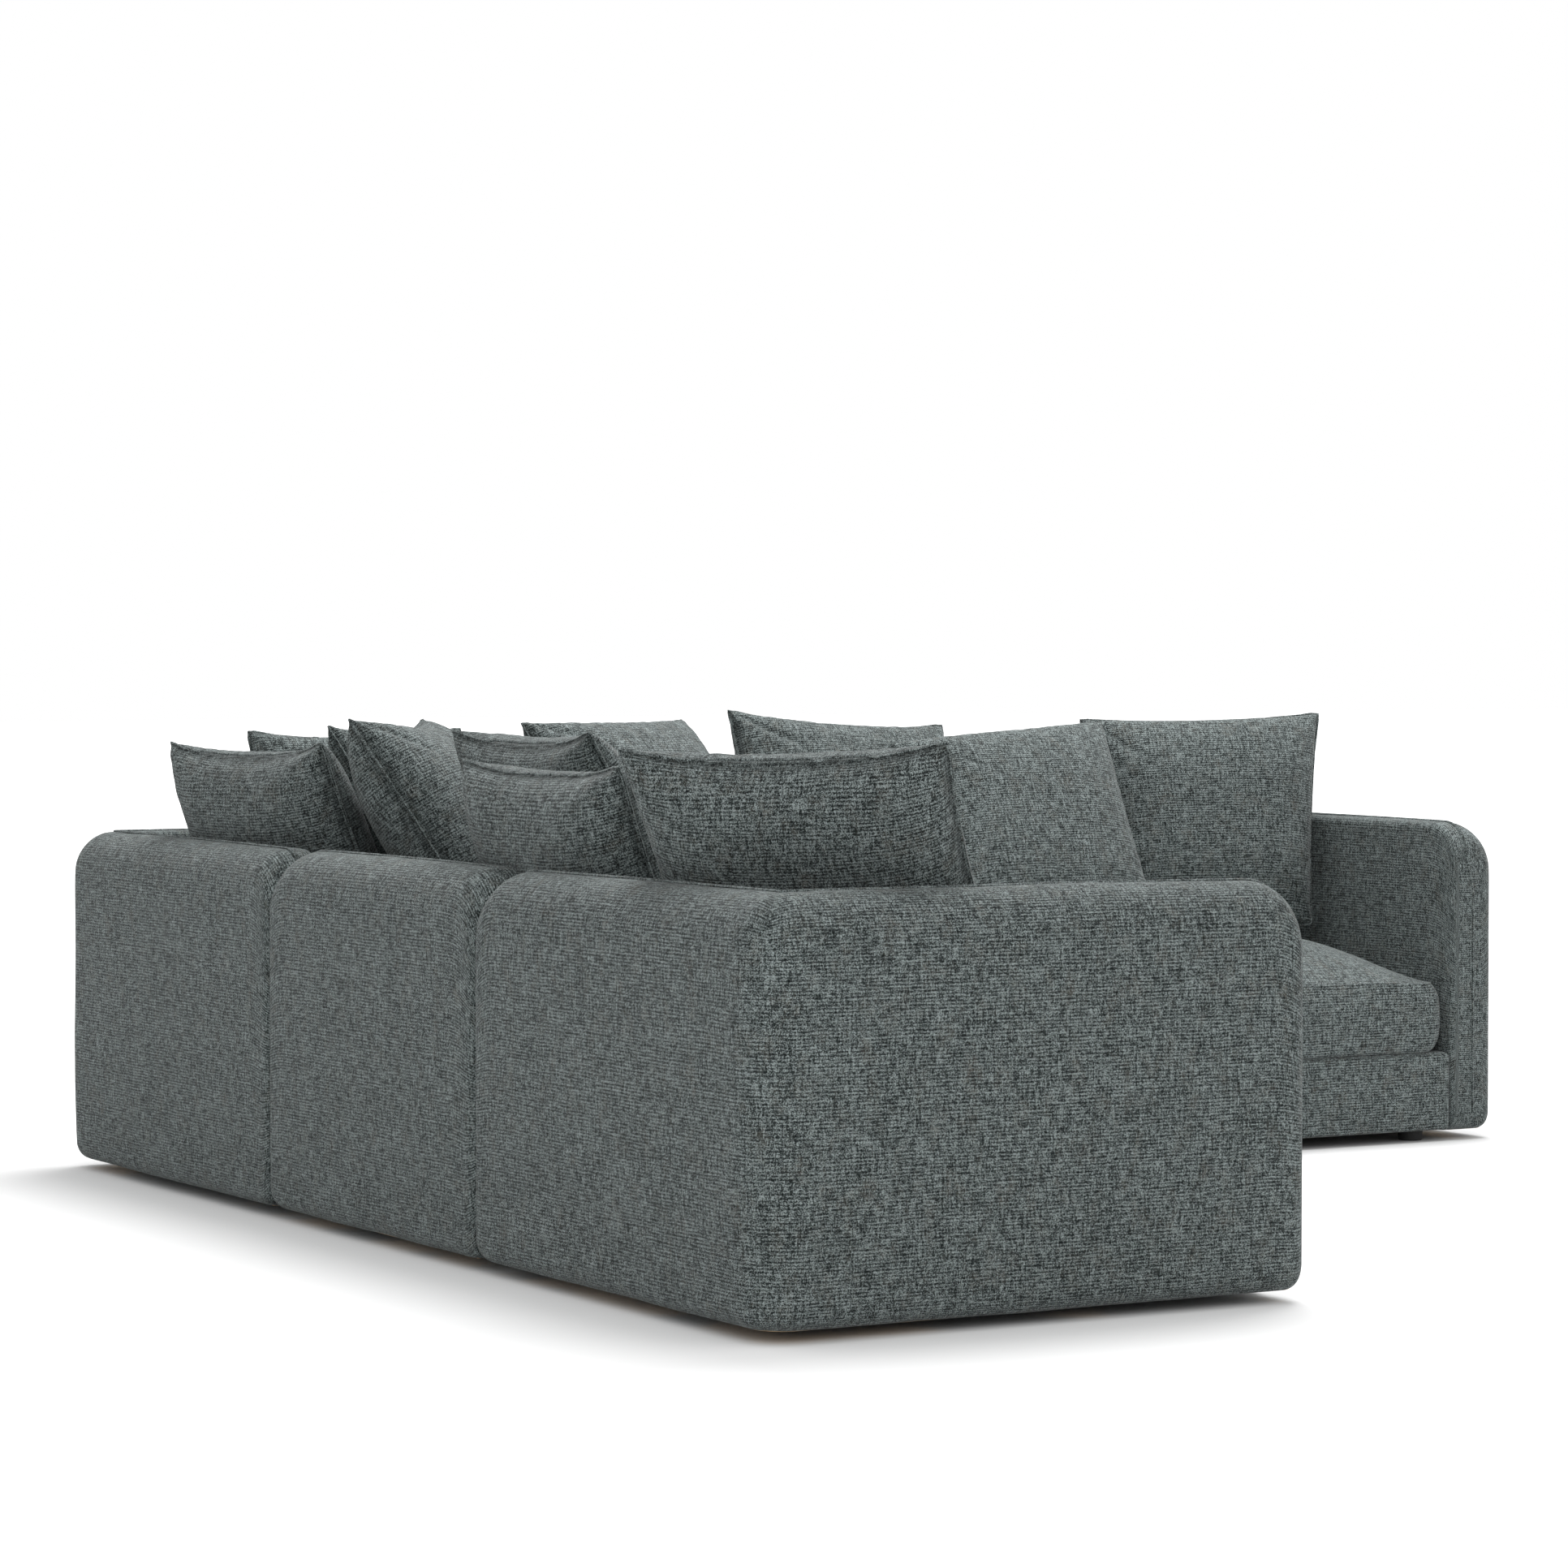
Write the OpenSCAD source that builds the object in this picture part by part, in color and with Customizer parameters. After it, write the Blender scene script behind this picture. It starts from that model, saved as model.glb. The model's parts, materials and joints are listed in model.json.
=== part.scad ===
// Modular corner sofa: five upholstered units on timber frames, with a loose
// seat cushion on each unit and eleven loose back cushions.
// X and Y are level and Z is up. The two walls of the sofa run along -X and +Y,
// the seats face +X on the left wing and -Y on the right wing, the floor is z = 0
// and the origin is under the centre of the whole plan.

/* [Layout] */
// Length of each end unit along its wing, arm included
end_w = 1035; // [960:5:1150]
// Length of each middle unit along its wing
mid_w = 900; // [840:5:1000]
// Depth of every unit, which is also the side of the square corner unit
unit_d = 1065; // [1000:5:1150]

/* [Walls] */
// Height of the backs and arms above the floor
wall_h = 710; // [640:5:780]
// Thickness of the backs and arms
wall_t = 125; // [110:1:150]
// Gap between the floor and the underside of the backs and arms
wall_lift = 20; // [14:1:22]
// Radius over the top of the outer face, and round the outer upright corners
wall_round = 80; // [60:1:90]
// Radius of the upper corners at the end of each wall, seen from the side
end_round = 85; // [50:1:110]
// Radius of the lower corners at the end of each wall, seen from the side
end_foot_round = 40; // [20:1:60]
// Radius of the outer edge along the bottom of the walls
foot_round = 32; // [24:1:45]
// Radius of the upright edges where two units meet
groove_round = 26; // [22:1:40]
// Radius of the outer upright edge at the front of an arm
arm_round = 44; // [24:1:60]
// Radius of the edge along the top of the inner face
inner_round = 12; // [4:1:18]
// Thickness of the foam and cover over the wall frames
wall_pad = 20; // [14:1:23]

/* [Base] */
// Height of the top of the upholstered base above the floor
base_top = 200; // [170:1:240]
// Height of the underside of the base above the floor
base_lift = 25; // [23:1:40]
// Radius of the upright and upper edges of the base
base_round = 14; // [6:1:24]
// Thickness of the foam and cover on the sides of the base
base_pad = 12; // [8:1:20]
// Thickness of the deck cloth and its felt under the seat cushion
deck_t = 6; // [4:1:12]
// Thickness of the timber rails of the base
rail_t = 22; // [18:1:30]
// Width and depth of the glue blocks in the corners of the base
block_w = 90; // [70:1:120]
// Height of the glue blocks
block_h = 60; // [40:1:90]
// Width of one webbing strap
strap_w = 70; // [40:1:90]
// Thickness of one webbing strap
strap_t = 1.5; // [1:0.1:3]
// Clear width wanted between two webbing straps
strap_space = 70; // [40:1:140]
// Thickness of the dust cloth under the base
dust_t = 1.2; // [0.6:0.1:2]

/* [Wall frames] */
// Width of the posts in the wall frames
post_w = 60; // [40:1:90]
// Height of the bottom rail of the wall frames
wall_rail_h = 90; // [60:1:140]
// Height of the top rail of the wall frames
wall_head_h = 110; // [90:1:150]
// Number of open windows in each leg of a wall's timber frame
wall_windows = 2; // [1:1:4]

/* [Seat cushions] */
// Height of the upright side of a seat cushion
seat_side = 150; // [110:1:200]
// Height that the middle of a seat cushion stands above its side
seat_crown = 105; // [40:1:130]
// Share of the half width that is level on top of a seat cushion
seat_level = 0.35; // [0.3:0.01:0.5]
// The same share towards the walls, where the loose cushions stand
seat_back_level = 0.85; // [0.6:0.01:0.9]
// Gap between a seat cushion and what stands beside it
seat_gap = 5; // [4:0.5:8]
// How far a seat cushion stands out past the front of its base
seat_proud = 3; // [0:0.5:4]
// Radius of the upright corners of a seat cushion
seat_corner = 60; // [30:1:90]
// How far the lower and upper edges of a seat cushion's sides are drawn in
seat_tuck = 16; // [5:1:30]

/* [Back cushions] */
// Thickness of a loose cushion in its middle
cushion_t = 175; // [120:1:175]
// How far the middle of a loose cushion's upper side is drawn in
cushion_draw = 35; // [10:1:50]
// How far the middle of a loose cushion's left and right sides is drawn in
cushion_side_draw = 18; // [5:1:40]
// How full a loose cushion is beside its seams, as the power of its section
cushion_full = 2.9; // [2:0.1:4]

/* [Feet and links] */
// Diameter of a foot
foot_d = 55; // [40:1:70]
// Distance from the sides of the base to the centre of a foot
foot_in = 66; // [58:1:80]
// Diameter of the threaded stud on a foot
stud_d = 8; // [6:1:12]
// Length of the stud above the underside of the rails
stud_h = 32; // [20:1:38]
// Length of a link plate across the joint of two units
link_l = 90; // [84:1:140]
// Width of a link plate
link_w = 40; // [24:1:60]
// Thickness of a link plate
link_t = 3; // [2:0.5:4]
// Diameter of the screws that hold a link plate
link_screw_d = 6; // [4:0.5:8]
// Length of a link screw in the timber
link_screw_l = 40; // [20:1:60]
// Diameter of the bolts that hold the walls to the bases
bolt_d = 10; // [6:1:12]
// Height of the bolts above the floor
bolt_z = 72; // [60:1:90]
// Length of a bolt inside the wall frame
bolt_grip = 40; // [20:1:60]

/* [Fits] */
// Gap between soft pieces that rest on or against each other
rest_gap = 0.3; // [0.2:0.1:0.6]
// Gap between a frame and the cover round it
frame_gap = 0.3; // [0.2:0.1:1]
// Gap all round a stud or a screw in its hole
bore_gap = 0.05; // [0.03:0.01:0.1]

/* [Hidden] */

half = (end_w + mid_w + unit_d) / 2;
cut_over = 1;
arc_fn = 64;

// Units: 0 near end, 1 left middle, 2 corner, 3 right middle, 4 far end
NEAR = 0;
LEFT = 1;
CORNER = 2;
RIGHT = 3;
FAR = 4;

// Seat space of each unit inside its walls, as [low x, low y, high x, high y]
front_x = -half + unit_d;
front_y = half - unit_d;
spaces = [
  [-half + wall_t, -half + wall_t, front_x, -half + end_w],
  [-half + wall_t, -half + end_w, front_x, front_y],
  [-half + wall_t, front_y, front_x, half - wall_t],
  [front_x, front_y, front_x + mid_w, half - wall_t],
  [half - end_w, front_y, half - wall_t, half - wall_t]
];

rail_low = base_lift + dust_t;
web_low = base_top - deck_t - frame_gap - 2 * strap_t;
seat_low = base_top + rest_gap;
cushion_low = seat_low + seat_side + seat_crown + rest_gap;

// Distance from the side of a seat space to the outside of its base frame
frame_in = 2 * frame_gap + base_pad;

// Waste outside a rounded corner at [x, y], where sx and sy point out of the corner
module corner_waste(x, y, r, sx, sy) {
  if (r > 0)
    translate([x, y]) mirror([sx < 0 ? 1 : 0, 0]) mirror([0, sy < 0 ? 1 : 0])
      translate([-r, -r]) difference() {
        square(r + cut_over);
        circle(r, $fn = arc_fn);
      }
}

// Rectangle from [x0, y0] to [x1, y1] with its own radius at each corner,
// given as low-low, high-low, high-high, low-high
module soft_rect(x0, y0, x1, y1, r) {
  difference() {
    translate([x0, y0]) square([x1 - x0, y1 - y0]);
    corner_waste(x0, y0, r[0], -1, -1);
    corner_waste(x1, y0, r[1], 1, -1);
    corner_waste(x1, y1, r[2], 1, 1);
    corner_waste(x0, y1, r[3], -1, 1);
  }
}

// Cross-section of a wall: first coordinate inwards from the outer face, second
// coordinate up. Every face is drawn in by d, and the underside lies at low.
module wall_section(d, low) {
  soft_rect(d, low, wall_t - d, wall_h - d,
    [low < wall_lift ? 0 : foot_round - d, 0, inner_round - d, wall_round - d]);
}

// Straight wall along X with its outer face at y = 0. r_start and r_end are the
// radii of the outer upright edges at its two ends; 0 leaves that end square.
module straight_wall(x0, x1, d, low, r_start, r_end) {
  e0 = r_start > 0 ? d : 0;
  top0 = r_start > 0 ? end_round - d : 0;
  toe0 = r_start > 0 && low >= wall_lift ? end_foot_round - d : 0;
  toe1 = low >= wall_lift ? end_foot_round - d : 0;
  inner = inner_round - d;
  intersection() {
    translate([x0, 0, 0]) rotate([90, 0, 90]) linear_extrude(x1 - x0) wall_section(d, low);
    translate([0, wall_t, 0]) rotate([90, 0, 0]) linear_extrude(wall_t)
      soft_rect(x0 + e0, low, x1 - d, wall_h - d, [toe0, toe1, end_round - d, top0]);
    translate([0, 0, low]) linear_extrude(wall_h - low)
      soft_rect(x0 + e0, d, x1 - d, wall_t - d,
        [r_start > 0 ? r_start - d : 0, r_end - d, inner, r_start > 0 ? inner : 0]);
  }
}

// Wall that turns a corner at the origin: one leg of length a along X and one of
// length b along Y, with outer faces at y = 0 and x = 0
module angle_wall(a, b, d, low, r_a, r_b) {
  straight_wall(wall_round, a, d, low, 0, r_a);
  mirror([1, -1, 0]) straight_wall(wall_round, b, d, low, 0, r_b);
  translate([wall_round, wall_round, 0]) rotate([0, 0, 180])
    rotate_extrude(angle = 90, $fn = arc_fn)
      intersection() {
        translate([wall_round, 0]) mirror([1, 0]) wall_section(d, low);
        translate([0, low]) square([wall_round, wall_h]);
      }
}

// Wall of unit u, with every face drawn in by d
module unit_wall(u, d, low) {
  if (u == NEAR)
    translate([-half, -half, 0]) angle_wall(unit_d, end_w, d, low, arm_round, groove_round);
  if (u == LEFT)
    translate([-half, front_y, 0]) rotate([0, 0, -90])
      straight_wall(0, mid_w, d, low, groove_round, groove_round);
  if (u == CORNER)
    translate([-half, half, 0]) mirror([0, 1, 0])
      angle_wall(unit_d, unit_d, d, low, groove_round, groove_round);
  if (u == RIGHT)
    translate([front_x + mid_w, half, 0]) rotate([0, 0, 180])
      straight_wall(0, mid_w, d, low, groove_round, groove_round);
  if (u == FAR)
    translate([half, half, 0]) rotate([0, 0, 180])
      angle_wall(end_w, unit_d, d, low, groove_round, arm_round);
}

// Upholstered shell of a wall, open underneath round its frame
module wall_cover(u) {
  color("slategray") difference() {
    unit_wall(u, 0, wall_lift);
    unit_wall(u, wall_pad, -cut_over);
    bolt_holes(bolt_d + 2 * bore_gap);
  }
}

// Windows cut through the frame of one straight leg from x0 to x1
module leg_windows(x0, x1) {
  open_l = x1 - x0 - 2 * post_w;
  n = wall_windows;
  w = (open_l - (n - 1) * post_w) / n;
  for (i = [0 : n - 1])
    translate([x0 + post_w + i * (w + post_w), -cut_over, wall_lift + wall_rail_h])
      cube([w, wall_t + 2 * cut_over, wall_h - wall_lift - wall_rail_h - wall_head_h]);
}

// Windows of a frame that turns a corner
module angle_windows(a, b) {
  leg_windows(wall_t, a - wall_pad);
  mirror([1, -1, 0]) leg_windows(wall_t, b - wall_pad);
}

// Timber frame inside the wall of unit u
module wall_frame(u) {
  color("burlywood") difference() {
    unit_wall(u, wall_pad + frame_gap, wall_lift);
    if (u == NEAR)
      translate([-half, -half, 0]) angle_windows(unit_d, end_w);
    if (u == LEFT)
      translate([-half, front_y, 0]) rotate([0, 0, -90]) leg_windows(wall_pad, mid_w - wall_pad);
    if (u == CORNER)
      translate([-half, half, 0]) mirror([0, 1, 0]) angle_windows(unit_d, unit_d);
    if (u == RIGHT)
      translate([front_x + mid_w, half, 0]) rotate([0, 0, 180]) leg_windows(wall_pad, mid_w - wall_pad);
    if (u == FAR)
      translate([half, half, 0]) rotate([0, 0, 180]) angle_windows(end_w, unit_d);
    bolt_holes(bolt_d + 2 * bore_gap);
  }
}

// Box over the seat space s drawn in by d, from z0 to z1, with soft upright and upper edges
module soft_box(s, d, z0, z1, r) {
  x0 = s[0] + d;
  y0 = s[1] + d;
  x1 = s[2] - d;
  y1 = s[3] - d;
  intersection() {
    translate([0, 0, z0]) linear_extrude(z1 - z0) soft_rect(x0, y0, x1, y1, [r, r, r, r]);
    translate([0, y1, 0]) rotate([90, 0, 0]) linear_extrude(y1 - y0) soft_rect(x0, z0, x1, z1, [0, 0, r, r]);
    translate([x0, 0, 0]) rotate([90, 0, 90]) linear_extrude(x1 - x0) soft_rect(y0, z0, y1, z1, [0, 0, r, r]);
  }
}

// Plain box over the seat space s drawn in by d, from z0 to z1
module plain_box(s, d, z0, z1) {
  translate([s[0] + d, s[1] + d, z0]) cube([s[2] - s[0] - 2 * d, s[3] - s[1] - 2 * d, z1 - z0]);
}

// Upholstered shell of a base: padded sides and a deck, open underneath
module base_cover(u) {
  color("slategray") difference() {
    soft_box(spaces[u], frame_gap, base_lift, base_top, base_round);
    plain_box(spaces[u], frame_gap + base_pad, base_lift - cut_over, base_top - deck_t);
    bolt_holes(bolt_d + 2 * bore_gap);
  }
}

// Centres of the four feet of unit u
function feet_at(s) = [
  for (x = [s[0] + foot_in, s[2] - foot_in], y = [s[1] + foot_in, s[3] - foot_in]) [x, y]
];

// Timber frame of a base: four rails, one cross rail and four corner blocks
module base_frame(u) {
  s = spaces[u];
  inside = frame_in + rail_t;
  mid = (s[0] + s[2]) / 2;
  color("burlywood") difference() {
    union() {
      difference() {
        plain_box(s, frame_in, rail_low, web_low);
        plain_box(s, inside, rail_low - cut_over, web_low + cut_over);
      }
      translate([mid - rail_t / 2, s[1] + inside, rail_low])
        cube([rail_t, s[3] - s[1] - 2 * inside, web_low - rail_low]);
      for (x = [s[0] + inside, s[2] - inside - block_w], y = [s[1] + inside, s[3] - inside - block_w])
        translate([x, y, rail_low]) cube([block_w, block_w, block_h]);
    }
    for (p = feet_at(s))
      translate([p[0], p[1], rail_low - cut_over])
        cylinder(d = stud_d + 2 * bore_gap, h = stud_h + 2 * cut_over, $fn = arc_fn);
    link_holes(link_screw_d + 2 * bore_gap);
    bolt_holes(bolt_d + 2 * bore_gap);
  }
}

// Elastic straps across the base frame in two crossed layers
module webbing(u) {
  s = spaces[u];
  length_x = s[2] - s[0] - 2 * frame_in;
  length_y = s[3] - s[1] - 2 * frame_in;
  color("dimgray") {
    strap_row(s[0] + frame_in, s[1] + frame_in + rail_t, length_x, length_y - 2 * rail_t, web_low);
    translate([s[0] + frame_in, s[1] + frame_in, 0]) mirror([1, -1, 0])
      strap_row(0, rail_t, length_y, length_x - 2 * rail_t, web_low + strap_t);
  }
}

// Straps of the given length along X, spread evenly over a width from y0
module strap_row(x0, y0, length, width, z) {
  n = floor((width + strap_space) / (strap_w + strap_space));
  pitch = width / n;
  for (i = [0 : n - 1])
    translate([x0, y0 + (i + 0.5) * pitch - strap_w / 2, z]) cube([length, strap_w, strap_t]);
}

// Black cloth that closes the base underneath, cut out round the feet
module dust_cloth(u) {
  s = spaces[u];
  color("black") difference() {
    plain_box(s, frame_in, base_lift, rail_low);
    for (p = feet_at(s))
      translate([p[0], p[1], base_lift - cut_over])
        cylinder(d = foot_d + 2 * frame_gap, h = dust_t + 2 * cut_over, $fn = arc_fn);
    link_holes(link_screw_d + 2 * bore_gap);
  }
}

// Four turned feet with a rounded rim and a stud up into the corner blocks
module feet(u) {
  toe = 3;
  color("black") for (p = feet_at(spaces[u]))
    translate([p[0], p[1], 0]) rotate_extrude($fn = arc_fn) {
      intersection() {
        square([foot_d / 2, rail_low]);
        soft_rect(-foot_d / 2, 0, foot_d / 2, rail_low, [toe, toe, 0, 0]);
      }
      square([stud_d / 2, rail_low + stud_h]);
    }
}

// Screw places of the link plates: [x, y] on each side of every joint of two units
link_reach = frame_in + rail_t / 2;
link_spots = [for (t = [0.3, 0.7]) for (side = [-1, 1]) each [
  [-half + wall_t + t * (unit_d - wall_t), -half + end_w + side * link_reach],
  [-half + wall_t + t * (unit_d - wall_t), front_y + side * link_reach],
  [front_x + side * link_reach, front_y + t * (unit_d - wall_t)],
  [half - end_w + side * link_reach, front_y + t * (unit_d - wall_t)]
]];

// Holes for every link screw
module link_holes(d) {
  for (p = link_spots)
    translate([p[0], p[1], base_lift - link_t - cut_over])
      cylinder(d = d, h = link_t + link_screw_l + 2 * cut_over, $fn = arc_fn);
}

// Steel plates that join neighbouring bases from below
module link_plates() {
  color("silver") difference() {
    for (t = [0.3, 0.7]) {
      along = t * (unit_d - wall_t);
      for (y = [-half + end_w, front_y])
        translate([-half + wall_t + along - link_w / 2, y - link_l / 2, base_lift - link_t])
          cube([link_w, link_l, link_t]);
      for (x = [front_x, half - end_w])
        translate([x - link_l / 2, front_y + along - link_w / 2, base_lift - link_t])
          cube([link_l, link_w, link_t]);
    }
    link_holes(link_screw_d + 2 * bore_gap);
  }
}

// Pan-head screws through the link plates into the base rails
module link_screws() {
  head_h = 2.5;
  color("silver") for (p = link_spots)
    translate([p[0], p[1], base_lift - link_t - head_h]) {
      cylinder(d = 2 * link_screw_d, h = head_h, $fn = arc_fn);
      cylinder(d = link_screw_d, h = head_h + link_t + link_screw_l, $fn = arc_fn);
    }
}

// Bolt places: [x, y] on the side of a seat space and the direction into the wall
bolt_spots = [for (t = [0.3, 0.7]) each concat(
  [for (u = [NEAR, LEFT, CORNER]) [spaces[u][0], spaces[u][1] + t * (spaces[u][3] - spaces[u][1]), 180]],
  [for (u = [CORNER, RIGHT, FAR]) [spaces[u][0] + t * (spaces[u][2] - spaces[u][0]), spaces[u][3], 90]],
  [[spaces[NEAR][0] + t * (spaces[NEAR][2] - spaces[NEAR][0]), spaces[NEAR][1], -90]],
  [[spaces[FAR][2], spaces[FAR][1] + t * (spaces[FAR][3] - spaces[FAR][1]), 0]]
)];
bolt_reach = wall_pad + frame_gap + bolt_grip;

// Round bars of diameter d from back inside the base to ahead inside the wall
module bolt_bars(d, back, ahead) {
  for (p = bolt_spots)
    translate([p[0], p[1], bolt_z]) rotate([0, 0, p[2]]) translate([-back, 0, 0])
      rotate([0, 90, 0]) cylinder(d = d, h = back + ahead, $fn = arc_fn);
}

// Holes for every wall bolt
module bolt_holes(d) {
  bolt_bars(d, frame_in + rail_t + cut_over, bolt_reach + cut_over);
}

// Bolts from inside the bases through the rails and covers into the wall frames
module wall_bolts() {
  head_h = 6;
  color("silver") {
    bolt_bars(bolt_d, frame_in + rail_t + head_h, bolt_reach);
    bolt_bars(2 * bolt_d, frame_in + rail_t + head_h, -frame_in - rail_t);
  }
}

// A closed soft form from rings of points: rings run from the bottom middle to the
// top middle, each ring has the same number of points, and both ends are one point
function ring_faces(rings, n) = concat(
  [for (i = [0 : n - 1]) [0, 1 + i, 1 + (i + 1) % n]],
  [for (k = [0 : rings - 2], i = [0 : n - 1]) each [
    [1 + k * n + i, 1 + (k + 1) * n + i, 1 + (k + 1) * n + (i + 1) % n],
    [1 + k * n + i, 1 + (k + 1) * n + (i + 1) % n, 1 + k * n + (i + 1) % n]]],
  [for (i = [0 : n - 1]) [1 + rings * n, 1 + (rings - 1) * n + (i + 1) % n, 1 + (rings - 1) * n + i]]
);

// Points round the edge of the square from -1 to 1, per_side on each side, from corner to corner
function edge_points(per_side) = [for (side = [0 : 3], i = [0 : per_side - 1])
  let(t = -cos(180 * i / per_side))
    side == 0 ? [t, -1] : side == 1 ? [1, t] : side == 2 ? [-t, 1] : [-1, -t]];

// Height share of a seat cushion's top at share t of its half width. back is the side
// that is level almost to its edge: 1 or -1 along the axis, or 0 for neither.
function level_top(t, back) =
  let(level = t * back > 0 ? seat_back_level : seat_level)
    1 - pow(max(0, (abs(t) - level) / (1 - level)), 2);

// Which sides of the seat of unit u stand against a wall, along X and along Y
function wall_side(u) = [u < RIGHT ? -1 : 0, u > LEFT ? 1 : 0];

// Point on a rectangle of half sides a and b with corners of radius r, for edge point p
function round_corner(p, a, b, r) =
  let(x = p[0] * a, y = p[1] * b,
      cx = max(abs(x) - (a - r), 0), cy = max(abs(y) - (b - r), 0),
      far = norm([cx, cy]), pull = cx > 0 && cy > 0 ? r / far : 1)
    [sign(x) * (abs(x) - cx + cx * pull), sign(y) * (abs(y) - cy + cy * pull)];

// Seat cushion over half sides a and b: flat underneath, sides that swell, and a
// crown that is level in its middle and falls away to a soft upper edge
seat_per_side = 9;
seat_rings = [
  // scale inwards, draw-in, height share of the side, on the crown
  [1, 1, 0, 0], [1, 0.25, 0.14, 0], [1, 0, 0.55, 0], [1, 0.3, 0.88, 0],
  [0.97, 1, 1, 1], [0.9, 1, 1, 1], [0.8, 1, 1, 1], [0.66, 1, 1, 1], [0.5, 1, 1, 1], [0.35, 1, 1, 1]
];
function seat_points(a, b, back) =
  let(edge = edge_points(seat_per_side))
    concat([[0, 0, 0]],
      [for (ring = seat_rings, p = edge)
        let(tuck = seat_tuck * ring[1],
            q = round_corner(p, a - tuck, b - tuck, seat_corner - tuck) * ring[0],
            rise = seat_crown * level_top(q[0] / a, back[0]) * level_top(q[1] / b, back[1]))
          [q[0], q[1], seat_side * ring[2] + (ring[3] == 1 ? rise : 0)]],
      [[0, 0, seat_side + seat_crown]]);

// Plan of the seat cushion of unit u as [low x, low y, high x, high y]
function seat_plan(u) =
  let(s = spaces[u])
    [s[0] + seat_gap, s[1] + (u > CORNER ? -seat_proud : seat_gap),
     s[2] + (u < CORNER ? seat_proud : -seat_gap), s[3] - seat_gap];

module seat(u) {
  s = seat_plan(u);
  color("slategray") translate([(s[0] + s[2]) / 2, (s[1] + s[3]) / 2, seat_low])
    polyhedron(seat_points((s[2] - s[0]) / 2, (s[3] - s[1]) / 2, wall_side(u)),
      ring_faces(len(seat_rings), 4 * seat_per_side), convexity = 4);
}

// Height of the seats under [x, y], taken as the highest that passes there when a seat
// is drawn out forwards
function seat_height(x, y) = max([for (u = [NEAR : FAR])
  let(s = seat_plan(u),
      tx = (2 * x - s[0] - s[2]) / (s[2] - s[0]),
      ty = (2 * y - s[1] - s[3]) / (s[3] - s[1]))
    abs(tx) > 1 || abs(ty) > 1 ? 0
      : seat_low + seat_side + seat_crown * (u < CORNER ? level_top(ty, 0) : u > CORNER ? level_top(tx, 0)
        : level_top(tx, -1) * level_top(ty, 1))]);

// Loose cushion of width w and height h standing on its lower edge in the XZ plane,
// its face towards -Y: knife edges, pointed corners, drawn-in upper and upright sides, a
// straight lower side and a full crown
cushion_per_side = 7;
cushion_rings = [0.45, 0.75, 0.93, 1, 0.93, 0.75, 0.45];
function pillow(u, v) =
  cushion_t / 2 * sqrt((1 - pow(abs(u), cushion_full)) * (1 - pow(abs(v), cushion_full)));
function pillow_point(p, s, side, w, h) =
  let(u = p[0] * s, v = p[1] * s,
      x = u * (w / 2 - cushion_side_draw * (1 - v * v)),
      z = h / 2 + v * (h / 2 - (v > 0 ? cushion_draw : 0) * (1 - u * u)))
    [x, side * pillow(min(1, abs(u)), min(1, abs(v))), z];
function pillow_points(w, h) =
  let(edge = edge_points(cushion_per_side), last = len(cushion_rings) - 1)
    concat([pillow_point([0, 0], 0, 1, w, h)],
      [for (k = [0 : last], p = edge) pillow_point(p, cushion_rings[k], sign(last / 2 - k), w, h)],
      [pillow_point([0, 0], 0, -1, w, h)]);

module pillow_form(w, h) {
  polyhedron(pillow_points(w, h), ring_faces(len(cushion_rings), 4 * cushion_per_side), convexity = 4);
}

// Distance from a wall's inner face to the foot of a cushion that leans on it by angle
// lean, counting rows of cushions before it
function lean_out(lean, row) =
  ((wall_h - cushion_low) * sin(lean) + cushion_t / 2 + rest_gap + row * (cushion_t + rest_gap)) / cos(lean);

// Point p of a cushion after it is rolled, leant back and turned
function leant(p, turn, lean, roll) =
  let(x = p[0] * cos(roll) + p[2] * sin(roll), up = p[2] * cos(roll) - p[0] * sin(roll),
      y = p[1] * cos(lean) + up * sin(lean))
    [x * cos(turn) - y * sin(turn), x * sin(turn) + y * cos(turn), up * cos(lean) - p[1] * sin(lean)];

// Cushion with the middle of its lower edge at [x, y], let down until it stands on the
// seats, and by press further where the seats round off under it
module loose_cushion(x, y, turn, lean, roll, w, h, press) {
  edge = edge_points(cushion_per_side);
  steps = 5;
  heights = [for (s = cushion_rings, side = [-1, 1], i = [0 : cushion_per_side - 1], k = [0 : steps])
    let(a = pillow_point(edge[i], s, side, w, h),
        b = pillow_point(edge[i + 1], s, side, w, h),
        p = leant(a + (b - a) * k / steps, turn, lean, roll))
      seat_height(x + p[0], y + p[1]) - p[2]];
  color("slategray") translate([x, y, max(heights) + rest_gap - press])
    rotate([0, 0, turn]) rotate([-lean, 0, 0]) rotate([0, roll, 0]) pillow_form(w, h);
}

// Cushion against the left wall: along is its distance from the near outer face, out is
// what it stands further off than its lean needs, turn is how far it faces the corner
module left_cushion(along, row, out, turn, lean, roll, w, h, press = 0) {
  loose_cushion(-half + wall_t + lean_out(lean, row) + out, -half + along, 90 + turn,
    lean, roll, w, h, press);
}

// Cushion against the right wall: along is its distance from the left outer face
module right_cushion(along, row, out, turn, lean, roll, w, h, press = 0) {
  loose_cushion(-half + along, half - wall_t - lean_out(lean, row) - out, turn, lean, roll, w, h, press);
}

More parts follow.
